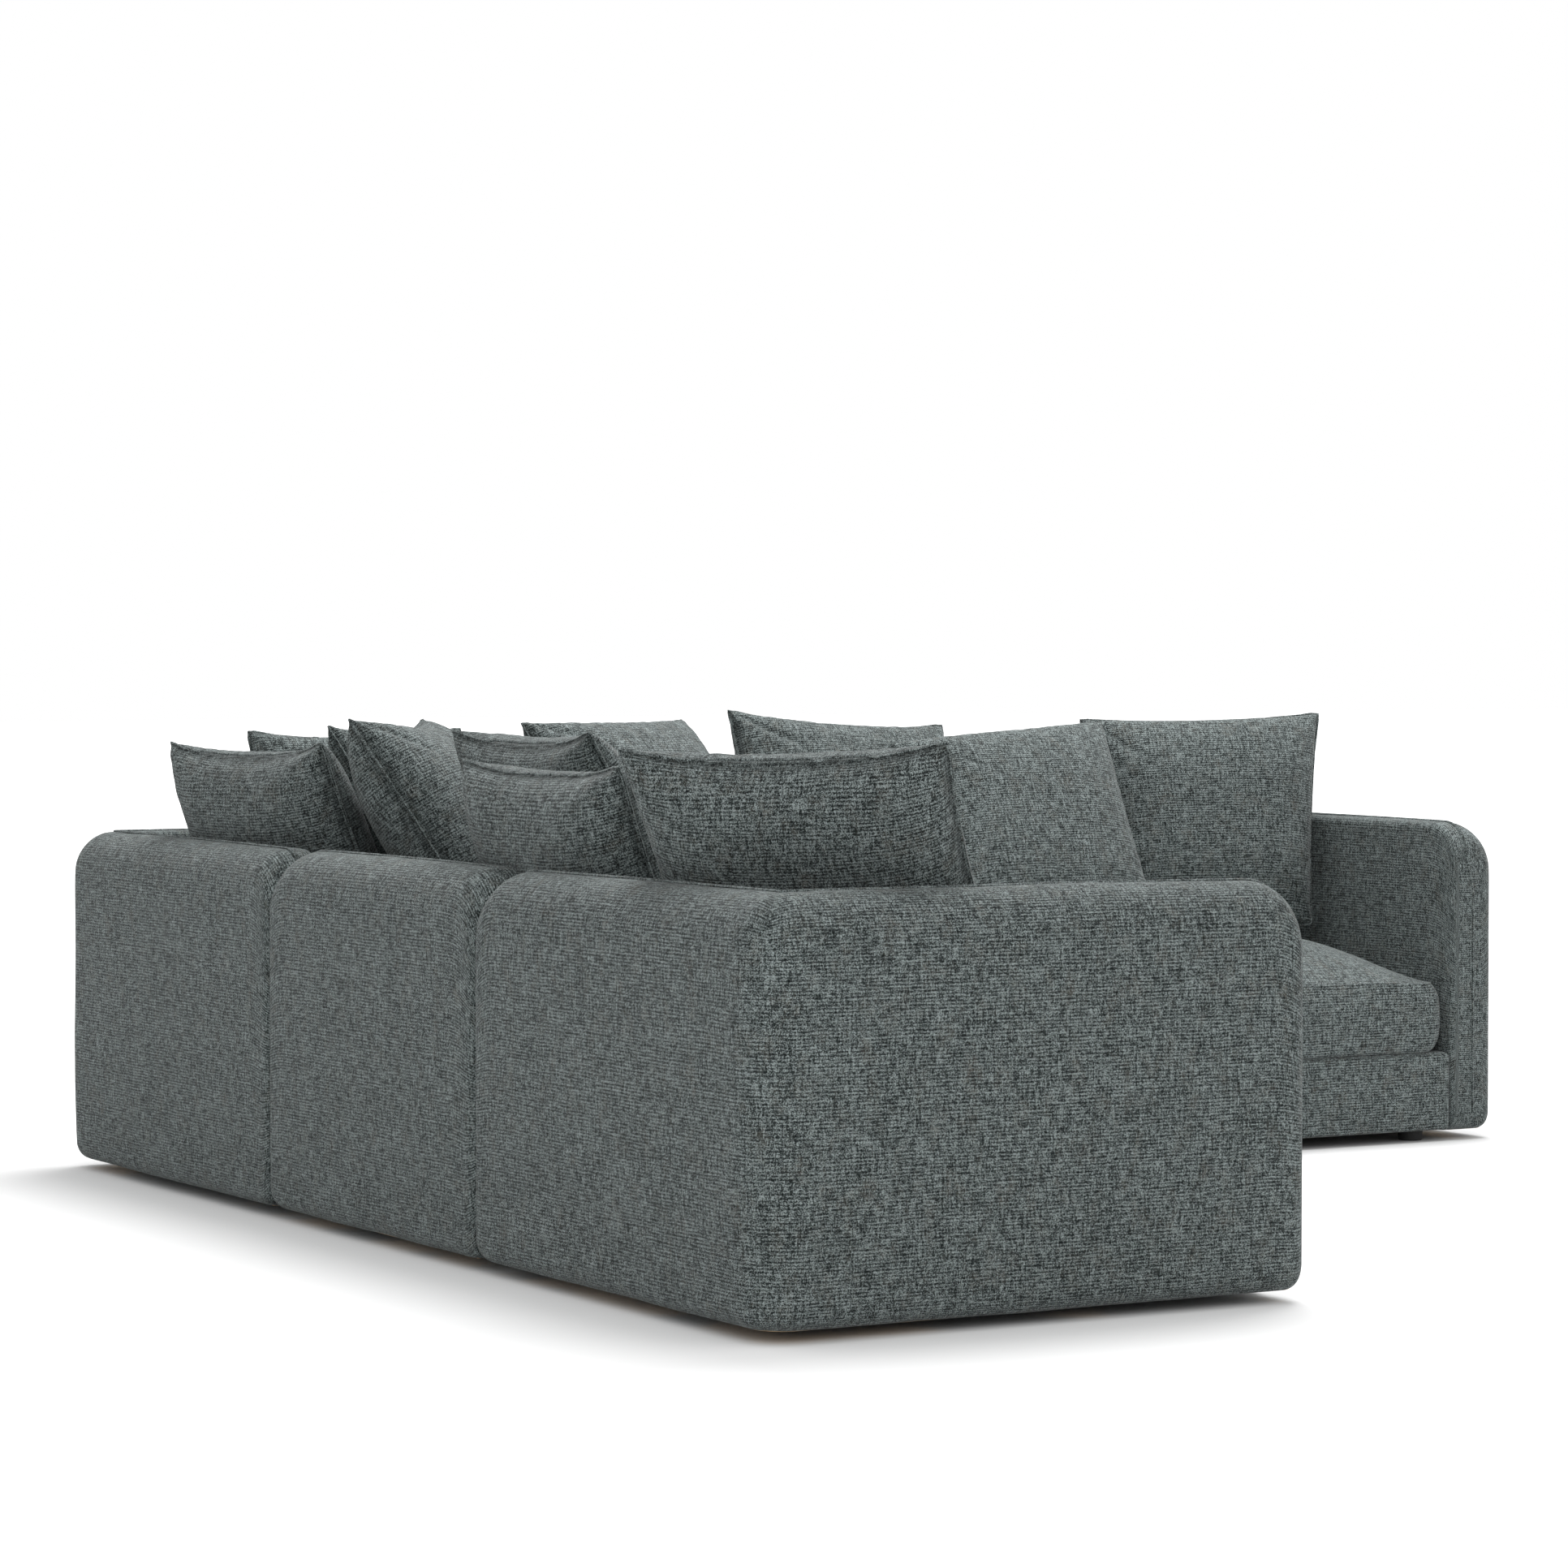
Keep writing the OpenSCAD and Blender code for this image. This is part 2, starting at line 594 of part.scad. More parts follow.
module near_corner_cushion() { left_cushion(452, 0, 61, 37, 31, 1.9, 600, 562); }
module left_back_cushion() { left_cushion(1063, 0, 0, 1, 21.5, 0, 600, 480); }
module left_front_cushion() { left_cushion(1533, 1, 56, 0, 33, 0.5, 590, 584); }
module corner_left_cushion() { left_cushion(2396, 0, 8, 8, 23, 1, 600, 496); }
module corner_back_cushion() { right_cushion(567, 0, 14, -14, 17, -0.5, 474, 495); }
module corner_middle_cushion() { right_cushion(706, 1, 70, 47, 30, -1, 530, 570); }
module corner_front_cushion() { right_cushion(620, 2, 230, 51, 33, 0.5, 590, 596); }
module corner_right_cushion() { right_cushion(1208, 1, 85, 25, 32, 0, 580, 580); }
module right_back_cushion() { right_cushion(1795, 0, 9, 3, 20.5, 4, 590, 535, 0.5); }
module right_front_cushion() { right_cushion(2073, 1, 113, 1, 26.5, 0, 600, 540); }
module far_arm_cushion() { right_cushion(2 * half - 408, 0, 253, -20, 16.5, -0.5, 570, 507); }

wall_cover(NEAR);  // near_end_wall_cover
wall_cover(LEFT);  // left_mid_wall_cover
wall_cover(CORNER);  // corner_wall_cover
wall_cover(RIGHT);  // right_mid_wall_cover
wall_cover(FAR);  // far_end_wall_cover
wall_frame(NEAR);  // near_end_wall_frame
wall_frame(LEFT);  // left_mid_wall_frame
wall_frame(CORNER);  // corner_wall_frame
wall_frame(RIGHT);  // right_mid_wall_frame
wall_frame(FAR);  // far_end_wall_frame
base_cover(NEAR);  // near_end_base_cover
base_cover(LEFT);  // left_mid_base_cover
base_cover(CORNER);  // corner_base_cover
base_cover(RIGHT);  // right_mid_base_cover
base_cover(FAR);  // far_end_base_cover
base_frame(NEAR);  // near_end_base_frame
base_frame(LEFT);  // left_mid_base_frame
base_frame(CORNER);  // corner_base_frame
base_frame(RIGHT);  // right_mid_base_frame
base_frame(FAR);  // far_end_base_frame
webbing(NEAR);  // near_end_webbing
webbing(LEFT);  // left_mid_webbing
webbing(CORNER);  // corner_webbing
webbing(RIGHT);  // right_mid_webbing
webbing(FAR);  // far_end_webbing
dust_cloth(NEAR);  // near_end_dust_cloth
dust_cloth(LEFT);  // left_mid_dust_cloth
dust_cloth(CORNER);  // corner_dust_cloth
dust_cloth(RIGHT);  // right_mid_dust_cloth
dust_cloth(FAR);  // far_end_dust_cloth
feet(NEAR);  // near_end_feet
feet(LEFT);  // left_mid_feet
feet(CORNER);  // corner_feet
feet(RIGHT);  // right_mid_feet
feet(FAR);  // far_end_feet
seat(NEAR);  // near_end_seat
seat(LEFT);  // left_mid_seat
seat(CORNER);  // corner_seat
seat(RIGHT);  // right_mid_seat
seat(FAR);  // far_end_seat
near_corner_cushion();
left_back_cushion();
left_front_cushion();
corner_left_cushion();
corner_back_cushion();
corner_middle_cushion();
corner_front_cushion();
corner_right_cushion();
right_back_cushion();
right_front_cushion();
far_arm_cushion();
link_plates();
link_screws();
wall_bolts();
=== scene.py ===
"""Corner sofa: the upholstery, the seams and the cushions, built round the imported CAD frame.

Everything is in metres in the frame's own axes: the left wing stands along Y at the -X side,
the right wing along X at the +Y side, and the floor is z = 0.
"""

import json
import math

import bmesh
import bpy
from bpy.props import FloatProperty, FloatVectorProperty, IntProperty, PointerProperty
from mathutils import Euler, Matrix, Vector, noise


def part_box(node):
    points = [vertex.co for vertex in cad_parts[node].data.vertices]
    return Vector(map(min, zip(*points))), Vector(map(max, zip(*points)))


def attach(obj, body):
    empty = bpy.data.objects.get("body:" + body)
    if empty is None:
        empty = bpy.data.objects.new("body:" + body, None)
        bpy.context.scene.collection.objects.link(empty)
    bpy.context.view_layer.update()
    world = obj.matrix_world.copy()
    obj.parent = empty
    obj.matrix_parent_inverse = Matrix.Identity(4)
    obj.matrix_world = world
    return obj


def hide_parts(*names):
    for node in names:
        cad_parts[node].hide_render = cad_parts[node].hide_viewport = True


bl_info = {
    "name": "Corner sofa",
    "version": (1, 0, 0),
    "blender": (4, 5, 0),
    "location": "View3D > Sidebar > Sofa",
    "description": "Upholstered corner sofa with domed seats and loose back cushions",
    "category": "Add Mesh",
}

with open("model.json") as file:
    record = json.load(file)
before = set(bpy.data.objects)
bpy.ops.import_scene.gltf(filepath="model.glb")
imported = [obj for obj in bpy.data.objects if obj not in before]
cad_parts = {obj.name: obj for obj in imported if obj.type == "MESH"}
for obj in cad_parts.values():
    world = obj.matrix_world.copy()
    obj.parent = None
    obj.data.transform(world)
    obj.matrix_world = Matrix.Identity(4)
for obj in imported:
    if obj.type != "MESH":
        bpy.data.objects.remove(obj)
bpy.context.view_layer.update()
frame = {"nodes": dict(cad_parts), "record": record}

# Units: which end of the wall's box in x and y is its outer corner, the ways of the wall's two legs,
# and the sides on which the seat meets a wall
UNITS = {
    "near_end": ((0, 0), (1, 0), (0, 1), (-1, 0)),
    "left_mid": ((0, 0), (0, 1), (1, 0), (-1, 0)),
    "corner": ((0, 1), (1, 0), (0, -1), (-1, 1)),
    "right_mid": ((0, 1), (1, 0), (0, -1), (0, 1)),
    "far_end": ((1, 1), (-1, 0), (0, -1), (0, 1)),
}
# Loose cushions: turn of the face from -Y, lean back and roll in degrees, width, height and the dip
# of the upper seam in metres, and how full the front and the back are
CUSHIONS = {
    "near_corner_cushion": (127, 31, 1.9, 0.600, 0.562, 0.040, 1.0, 1.0),
    "left_back_cushion": (91, 21.5, 0, 0.600, 0.480, 0.030, 1.0, 1.0),
    "left_front_cushion": (90, 33, 0.5, 0.590, 0.584, 0.038, 1.0, 1.0),
    "corner_left_cushion": (98, 23, 1, 0.600, 0.496, 0.045, 1.0, 1.0),
    "corner_back_cushion": (-14, 17, -0.5, 0.474, 0.495, 0.024, 1.0, 1.0),
    "corner_middle_cushion": (47, 30, -1, 0.530, 0.570, 0.030, 0.6, 1.0),
    "corner_front_cushion": (51, 33, 0.5, 0.590, 0.596, 0.030, 1.0, 1.25),
    "corner_right_cushion": (25, 32, 0, 0.580, 0.580, 0.016, 1.0, 1.0),
    "right_back_cushion": (3, 20.5, 4, 0.590, 0.535, 0.024, 1.0, 1.0),
    "right_front_cushion": (1, 26.5, 0, 0.600, 0.540, 0.018, 1.0, 1.0),
    "far_arm_cushion": (-20, 16.5, -0.5, 0.570, 0.507, 0.008, 1.0, 1.0),
}
# Corners that are slumped or pulled out: which side, bottom or top, and the move in metres
EASED_CORNERS = {
    "corner_front_cushion": {(-1, 1): (-0.010, 0.017), (1, 1): (-0.006, 0.012)},
    "corner_middle_cushion": {(1, 1): (0.0, -0.040)},
    "right_front_cushion": {(-1, 1): (0.0, -0.050)},
    "far_arm_cushion": {(1, -1): (-0.050, 0.0), (1, 1): (0.014, 0.008)},
}
# Finishes of what stays as packed: two colours, repeats of the grain a metre, roughness, and how the
# names of its nodes end. The dust cloths, feet, link plates, screws and bolts keep their packed finish.
FINISHES = {
    "sawn_timber": ((0.42, 0.29, 0.16), (0.60, 0.45, 0.28), (6, 6, 90), 0.75, ("_wall_frame", "_base_frame")),
    "elastic_strap": ((0.03,) * 3, (0.09,) * 3, (400,) * 3, 0.9, ("_webbing",)),
}
YARNS = ("Dark", "Middle", "Light", "Brown")
TONE_REACH = 0.8  # from the middle tone of the weave to its darkest and its lightest yarn
ROW_SHIFT = 31.0  # how many dashes a row of yarn may be shifted by

SLIVER = 0.0002  # nearest that a slice comes to the end of a piece
WELT_SIDES = 8
WALL_WAVES = ((5.0, 0.0022), (16.0, 0.0009))  # unevenness: repeats a metre and height
SEAT_WAVES = ((6.0, 0.0030), (19.0, 0.0012))
BASE_WAVE = (7.0, 0.0012)

SIMULATED_FRAMES = 20
TIP_SPAN = 0.08  # share of a cushion's half side, next to its tip, in which the tip is blunted
SEAM_HALF = 0.0012  # half the thickness of a cushion at its seam
# painted shade: the cloth beside a cushion's seam is darkened in its colour, standing in for the shade of the
# welt
PAINTED_SEAM_SHADE = 0.42  # how far the cloth darkens beside a cushion's seam
PUCKER_START, PUCKER_REACH = 0.007, 0.045  # where the puckers begin and fade, from the seam
PUCKER_REPEATS = Vector((24, 5, 8))  # along the seam, from front to back, and away from the seam
SLACK_HEIGHT, SLACK_REACH = 0.006, 0.08  # broad unevenness of the faces, and where it begins
SLACK_REPEATS = Vector((5, 3, 5))

FLOOR_NEAR, FLOOR_FAR = 2.6, 5.0  # from the middle of the floor, where its own white starts and is full
FLOOR_LEAST = 0.34  # its own white nearer than that
SKY_REACH, SKY_POWER = 0.4, 1.5  # how near something shuts off the floor's sky, and how strongly


def node_box(name):
    """Lowest and highest corner of a CAD node."""
    low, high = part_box(name)
    return Vector(low), Vector(high)


def body_of_node(name):
    for body, nodes in frame["record"]["behaviour"]["bodies"].items():
        if name in nodes:
            return body
    raise RuntimeError("no body holds " + name)


# ---------------------------------------------------------------- sizes and colours


def metres(name, default, description):
    return FloatProperty(name=name, description=description, default=default, unit="LENGTH")


def number(name, default, description):
    return FloatProperty(name=name, description=description, default=default)


def angle(name, degrees, description):
    return FloatProperty(name=name, description=description, default=math.radians(degrees), subtype="ANGLE")


def colour(name, default, description):
    return FloatVectorProperty(name=name, description=description, default=default, subtype="COLOR")


class WallSizes(bpy.types.PropertyGroup):
    shoulder: metres("Shoulder", 0.080, "Radius over the outer top edge and the outer corner")
    toe: metres("Toe", 0.032, "Radius along the bottom of the outer face")
    inner_edge: metres("Inner edge", 0.014, "Radius along the top of the inner face")
    end_top: metres("End top", 0.085, "Radius of the upper corner at the end of a wall")
    end_foot: metres("End foot", 0.040, "Radius of the lower corner at the end of a wall")
    groove: metres("Groove", 0.020, "Radius of the upright edges where two units meet")
    arm_edge: metres("Arm edge", 0.044, "Radius of the outer upright edge at the front of an arm")
    crown: metres("Crown", 0.004, "How far the top of a wall swells along its middle")
    swell: metres("Swell", 0.005, "How far the faces of a wall swell between their edges")
    step: metres("Mesh step", 0.030, "Distance between the slices of a wall")


class CushionSizes(bpy.types.PropertyGroup):
    thickness: metres("Thickness", 0.186, "Thickness of a loose cushion in its middle")
    fullness: number("Fullness", 3.6, "Power of the section: higher is fuller near the seams")
    packed_thickness: metres("Packed thickness", 0.175, "Thickness of the solid cushion in the frame")
    packed_fullness: number("Packed fullness", 2.9, "Power of the solid cushion's section")
    draw_in: metres("Draw-in", 0.035, "How far the middle of the solid cushion's upper side is drawn in")
    flange: metres("Flange", 0.006, "How far the sewn edge stands out")
    roll: number("Roll", 10.0, "How late the front follows the drawn-in seam")
    tip: metres("Tip", 0.006, "How far the four tips are blunted")
    side_draw: metres("Side draw-in", 0.018, "How far the middle of an upright side is drawn in")
    slices: IntProperty(name="Slices", description="Faces across one side of a loose cushion", default=64)
    cloth_spare: number("Spare cloth", 1.02, "How much longer the cloth is than the finished cushion")
    pressure: number("Pressure", 4.0, "Pressure in the cloth simulation")
    stretch_cap: metres("Stretch cap", 0.016, "Furthest that the simulation may move a point")
    pucker: metres("Pucker", 0.0066, "Height of the puckers along the seams")


class SeatSizes(bpy.types.PropertyGroup):
    side: metres("Side", 0.150, "Height of the upright side of a seat cushion")
    level: number("Level", 0.35, "Share of the half width that is level on top")
    back_level: number("Back level", 0.85, "The same share towards the walls")
    corner: metres("Corner", 0.060, "Radius of the upright corners")
    tuck: metres("Tuck", 0.016, "How far the upper and lower edges are drawn in")
    base_edge: metres("Base edge", 0.016, "Radius of the edges of the upholstered base")


class SeamSizes(bpy.types.PropertyGroup):
    piping: metres("Piping", 0.0030, "Radius of the piping in the seams")
    inset: metres("Inset", 0.080, "Distance of the seam from the outer face on top of a wall")
    end_inset: metres("End inset", 0.044, "The same distance down the front of an arm")


class ClothLook(bpy.types.PropertyGroup):
    dark: colour("Dark yarn", (0.0052, 0.0075, 0.0074), "Colour of the darkest yarn")
    middle: colour("Middle yarn", (0.0528, 0.0636, 0.0629), "Colour of most yarns")
    light: colour("Light yarn", (0.2940, 0.3390, 0.3340), "Colour of the lightest yarn")
    brown: colour("Brown yarn", (0.110, 0.098, 0.080), "Colour of the stray brown yarns")
    yarn: metres("Yarn", 0.00565, "Distance between two rows of yarn")
    pick: metres("Pick", 0.00292, "Distance between two picks along a row")
    floats: number("Floats", 0.34, "Share of the long dashes in the weave")
    cells: number("Cells", 1.8, "Share of the single picks in the weave")
    warps: number("Warps", 0.30, "Share of the upright dashes in the weave")
    rows: number("Rows", 0.55, "Share of the rows in the weave")
    picks: number("Picks", 0.20, "Share of the even ripple along the rows")
    patches: number("Patches", 0.42, "Share of the large soft patches")
    slubs: number("Slubs", 1.5, "Share of the long thick and thin places of the yarns")


class StageLook(bpy.types.PropertyGroup):
    lens: number("Lens", 106.45, "Focal length on a 36 mm sensor, in millimetres")
    stand: FloatVectorProperty(
        name="Stand", description="Place of the camera", default=(-5.0782, -7.8030, 1.0976), subtype="XYZ"
    )
    heading: angle("Heading", 29.8555, "Turn of the camera from +Y towards +X")
    pitch: angle("Pitch", 1.6495, "How far the camera looks down")
    sky: number("Sky", 0.62, "Strength of the even light from all round")
    key: number("Key", 420.0, "Power of the large lamp overhead")
    fill: number("Fill", 135.0, "Power of the lamp beside the camera")
    floor: number("Floor", 0.80, "Brightness of the floor's own colour")


# ---------------------------------------------------------------- materials


class Shading:
    """Adds nodes to the tree of a material, the world or a node group, and joins them."""

    def __init__(self, tree):
        self.nodes, self.links = tree.nodes, tree.links

    def feed(self, node, inputs):
        """Gives each named or numbered input its plain value, or joins it to the socket that feeds it."""
        for name, value in dict(inputs).items():
            if isinstance(value, bpy.types.NodeSocket):
                self.links.new(value, node.inputs[name])
            else:
                node.inputs[name].default_value = value

    def add(self, kind, inputs=(), **settings):
        node = self.nodes.new("ShaderNode" + kind)
        for name, value in settings.items():
            setattr(node, name, value)
        self.feed(node, inputs)
        return node

    def math(self, operation, *values):
        return self.add("Math", enumerate(values), operation=operation).outputs[0]

    def mix(self, factor, a, b):
        return self.add("Mix", {"Factor": factor, "A": a, "B": b}, data_type="RGBA").outputs["Result"]

    def span(self, value, low=0.0, high=1.0, to_low=0.0, to_high=1.0, **settings):
        """Value with low and high moved to to_low and to_high, and cut off there."""
        inputs = {"Value": value, "From Min": low, "From Max": high, "To Min": to_low, "To Max": to_high}
        return self.add("MapRange", inputs, **settings).outputs["Result"]

    def noise(self, vector, repeats, detail, rough):
        """Noise with this many repeats a metre in each direction."""
        stretched = self.add("Mapping", {"Vector": vector, "Scale": repeats}).outputs["Vector"]
        inputs = {"Vector": stretched, "Scale": 1.0, "Detail": detail, "Roughness": rough}
        return self.add("TexNoise", inputs).outputs["Fac"]

    def weigh(self, parts):
        """Sum of (socket, weight) pairs."""
        total = 0.0
        for socket, weight in parts:
            total = self.math("MULTIPLY_ADD", socket, weight, total)
        return total

    def ripple(self, turns):
        """0 to 1 and back once for each whole turn."""
        wave = self.math("COSINE", self.math("MULTIPLY", turns, 2 * math.pi))
        return self.math("MULTIPLY_ADD", wave, 0.5, 0.5)

    def dash(self, along, across, length, pitch, salt):
        """Random value for each dash of yarn: pitch apart across, length long along."""
        row = self.math("FLOOR", self.math("DIVIDE", across, pitch))
        start = self.add("TexWhiteNoise", {"W": self.math("ADD", row, salt)}, noise_dimensions="1D")
        dashes = self.math("DIVIDE", along, length)
        run = self.math("MULTIPLY_ADD", start.outputs["Value"], ROW_SHIFT, dashes)
        cell = self.add("CombineXYZ", enumerate((self.math("FLOOR", run), row, salt))).outputs[0]
        return self.add("TexWhiteNoise", {"Vector": cell}, noise_dimensions="3D").outputs["Value"]

    def finish(self, color, height, strength, depth, surface):
        """Feeds the material's shader: colour, a bump of this strength and depth, and plain values."""
        bump = self.add("Bump", {"Height": height, "Strength": strength, "Distance": depth})
        inputs = {"Base Color": color, "Normal": bump.outputs["Normal"], **surface}
        self.feed(self.nodes["Principled BSDF"], inputs)


def heather_weave(look):
    """Node group: colour and height of a heathered cloth on UV coordinates in metres."""
    group = bpy.data.node_groups.new("heather_weave", "ShaderNodeTree")
    sockets = [("Vector", "INPUT", "Vector"), *[(yarn, "INPUT", "Color") for yarn in YARNS]]
    for name, way, kind in (*sockets, ("Color", "OUTPUT", "Color"), ("Height", "OUTPUT", "Float")):
        group.interface.new_socket(name, in_out=way, socket_type="NodeSocket" + kind)
    kit = Shading(group)
    given = group.nodes.new("NodeGroupInput")
    result = group.nodes.new("NodeGroupOutput")
    uv = given.outputs["Vector"]
    split = kit.add("SeparateXYZ", {0: uv})
    sway = kit.noise(uv, (9, 9, 1), 1.0, 0.5)
    u, v = split.outputs[0], kit.math("MULTIPLY_ADD", sway, 0.004, split.outputs[1])
    turns = kit.math("DIVIDE", v, look.yarn)
    rows = kit.ripple(turns)
    half_turns = kit.math("MULTIPLY_ADD", kit.math("FLOOR", turns), 0.5, kit.math("DIVIDE", u, look.pick))
    picks = kit.ripple(half_turns)
    float_value = kit.dash(u, v, look.pick * 2, look.yarn, 0.0)
    cell_value = kit.dash(u, v, look.pick * 0.4, look.yarn / 5, 50.0)
    parts = [
        (float_value, look.floats),
        (cell_value, look.cells),
        (kit.dash(v, u, look.yarn * 1.6, look.pick / 2, 70.0), look.warps),
        (rows, look.rows),
        (picks, look.picks),
        (kit.noise(uv, (16, 9, 1), 3.0, 0.55), look.patches),
        (kit.noise(uv, (30, 230, 1), 1.0, 0.5), look.slubs),
        (kit.noise(uv, (230, 30, 1), 1.0, 0.5), look.slubs),
    ]
    tone = kit.weigh(parts)
    middle = sum(weight for _, weight in parts) / 2
    darker = kit.span(tone, middle - TONE_REACH, middle)
    lighter = kit.span(tone, middle, middle + TONE_REACH)
    color = kit.mix(darker, given.outputs["Dark"], given.outputs["Middle"])
    color = kit.mix(lighter, color, given.outputs["Light"])
    stray = kit.span(kit.noise(uv, (26, 16, 1), 3.0, 0.6), 0.50, 0.74, to_high=0.5)
    color = kit.mix(kit.math("MULTIPLY", stray, float_value), color, given.outputs["Brown"])
    height = kit.weigh([(rows, 0.5), (picks, 0.25), (cell_value, 0.25)])
    kit.feed(result, {"Color": color, "Height": height})
    return group


def new_material(name):
    mat = bpy.data.materials.new(name)
    mat.use_nodes = True
    return mat, Shading(mat.node_tree)


def cloth_material():
    """Heathered upholstery cloth, darker where a mesh's attribute marks painted shade beside the seams."""
    mat = bpy.data.materials.get("sofa_cloth")
    if mat:
        return mat
    look = bpy.context.scene.sofa_cloth
    mat, kit = new_material("sofa_cloth")
    uv = kit.add("UVMap", uv_map="cloth")
    inputs = {"Vector": uv.outputs["UV"]}
    inputs.update({yarn: (*getattr(look, yarn.lower()), 1) for yarn in YARNS})
    weave = kit.add("Group", inputs, node_tree=heather_weave(look))
    # painted shade: the weave is mixed towards the dark yarn where the attribute marks the flange beside a
    # seam, in place of the welt's shade
    painted_seam_shade = kit.add("Attribute", attribute_name="painted_seam_shade")
    color = kit.mix(painted_seam_shade.outputs["Fac"], weave.outputs["Color"], (*look.dark, 1))
    surface = {"Roughness": 0.95, "Specular IOR Level": 0.15, "Sheen Weight": 0.12, "Sheen Roughness": 0.45}
    kit.finish(color, weave.outputs["Height"], 0.55, 0.0012, surface)
    return mat


def grain_material(name, dark, light, repeats, rough):
    """Two-tone material on Object coordinates, for timber and straps."""
    mat, kit = new_material(name)
    place = kit.add("TexCoord")
    grain = kit.noise(place.outputs["Object"], repeats, 3.0, 0.6)
    color = kit.mix(kit.span(grain, 0.3, 0.7), (*dark, 1), (*light, 1))
    kit.finish(color, grain, 0.3, 0.0004, {"Roughness": rough})
    return mat


# ---------------------------------------------------------------- mesh helpers


def clamp(value, low=0.0, high=1.0):
    return min(high, max(low, value))


def graded(length, radius, step, ends=(True, True)):
    """Slice places along a length: close together inside radius of an end that is rounded."""
    rounds = [radius * (1 - math.cos(math.radians(a))) for a in range(9, 91, 9)]
    low, high = radius * ends[0], length - radius * ends[1]
    n = max(1, round((high - low) / step))
    places = [low + (high - low) * i / n for i in range(n + 1)]
    places += [r for r in rounds if ends[0]] + [length - r for r in rounds if ends[1]]
    return sorted(p for p in {round(p, 5) for p in places} if SLIVER < p < length - SLIVER)


def slice_mesh(bm, axis, places):
    """Cuts a mesh straight across at each place along an axis."""
    normal = Vector((0, 0, 0))
    normal[axis] = 1
    for place in places:
        geom = bm.verts[:] + bm.edges[:] + bm.faces[:]
        bmesh.ops.bisect_plane(bm, geom=geom, plane_co=normal * place, plane_no=normal, dist=1e-5)


def new_box(low, high):
    """Closed box as a bmesh between two corners."""
    bm = bmesh.new()
    bmesh.ops.create_cube(bm, size=1)
    bmesh.ops.scale(bm, vec=high - low, verts=bm.verts)
    bmesh.ops.translate(bm, vec=(low + high) / 2, verts=bm.verts)
    return bm


def arc_drop(distance, radius):
    """How far a quarter round has fallen away at a distance from its end."""
    if distance >= radius:
        return 0.0
    return radius - math.sqrt(max(0.0, radius * radius - (radius - distance) ** 2))


def round_run(distance, radius):
    """Length along a quarter round up to a point that lies this far from its end when seen flat."""
    return radius * math.acos(1 - clamp(distance / radius))


def half_run(distance, radius):
    """Length from the middle of an outer round to a point that was this far from the square edge."""
    if distance >= radius:
        return radius * math.pi / 4 + distance - radius
    return radius * (math.pi / 4 - math.atan((radius - distance) / radius))


def dome(t, level):
    """1 in the middle, falling in a curve to 0 at |t| = 1."""
    return 1 - max(0.0, (abs(t) - level) / (1 - level)) ** 2


def swell_share(t):
    """0 at t = 0 and 1, and nearly 1 between."""
    return 1 - (2 * clamp(t) - 1) ** 4


def name_number(name):
    """A fixed number from a piece's name, to shift its cloth and its unevenness."""
    return sum((i + 1) * ord(c) for i, c in enumerate(name)) % 97 * 0.37


def uneven(co, seed, *waves):
    """Sum of noises, each given as repeats a metre and height."""
    return sum(noise.noise(co * repeats + seed) * height for repeats, height in waves)


def add_object(name, data):
    obj = bpy.data.objects.new(name, data)
    bpy.context.scene.collection.objects.link(obj)
    return obj


def mesh_object(bm, name, material):
    mesh = bpy.data.meshes.new(name)
    bm.to_mesh(mesh)
    bm.free()
    mesh.materials.append(material)
    return add_object(name, mesh)


def smooth_once(obj):
    smooth = obj.modifiers.new("smooth", "SUBSURF")
    smooth.levels = smooth.render_levels = 1


def finish_mesh(bm, name, node, slot, body=None):
    """Makes the object, gives it its cloth, hides its CAD node, and lets it ride on the node's body."""
    bmesh.ops.recalc_face_normals(bm, faces=bm.faces)
    obj = mesh_object(bm, name, cloth_material())
    obj.data.shade_smooth()
    if node:
        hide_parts(node)
    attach(obj, body or body_of_node(node))
    return obj


def piping(name, points, body, slot, closed=False):
    """Round welt along a line of points, as a mesh with its own cloth coordinates."""
    radius = bpy.context.scene.sofa_seams.piping
    bm = bmesh.new()
    ring = bmesh.ops.create_circle(bm, segments=WELT_SIDES, radius=radius)["verts"]
    flat = [v.co.copy() for v in ring]
    bm.clear()
    uv_layer = bm.loops.layers.uv.new("cloth")
    rings, run, count = [], 0.0, len(points)
    for i, p in enumerate(points):
        before = points[i - 1] if (i or closed) else p
        after = points[(i + 1) % count] if (i < count - 1 or closed) else p
        turn = (after - before).normalized().to_track_quat("Z", "Y")
        rings.append(([bm.verts.new(p + turn @ c) for c in flat], run))
        run += (after - p).length if after is not p else 0.0
    pairs = list(zip(rings, rings[1:])) + ([(rings[-1], (rings[0][0], run))] if closed else [])
    girth = 2 * math.pi * radius / WELT_SIDES
    for (a, start), (b, end) in pairs:
        for k in range(WELT_SIDES):
            j = (k + 1) % WELT_SIDES
            face = bm.faces.new((a[k], a[j], b[j], b[k]))
            low, high = k * girth, (k + 1) * girth
            for loop, uv in zip(face.loops, ((start, low), (start, high), (end, high), (end, low))):
                loop[uv_layer].uv = uv
    if not closed:
        bm.faces.new(rings[0][0])
        bm.faces.new(rings[-1][0])
    finish_mesh(bm, name, None, slot, body=body)


def side_uv(bm, shift):
    """Cloth coordinates in metres from the side of the piece that each face looks to."""
    uv_layer = bm.loops.layers.uv.new("cloth")
    for f in bm.faces:
        ax, ay, az = (abs(c) for c in f.normal)
        for loop in f.loops:
            x, y, z = loop.vert.co
            x += shift
            loop[uv_layer].uv = (x, y) if az >= ax and az >= ay else (x, z) if ay >= ax else (y, z)


# ---------------------------------------------------------------- walls


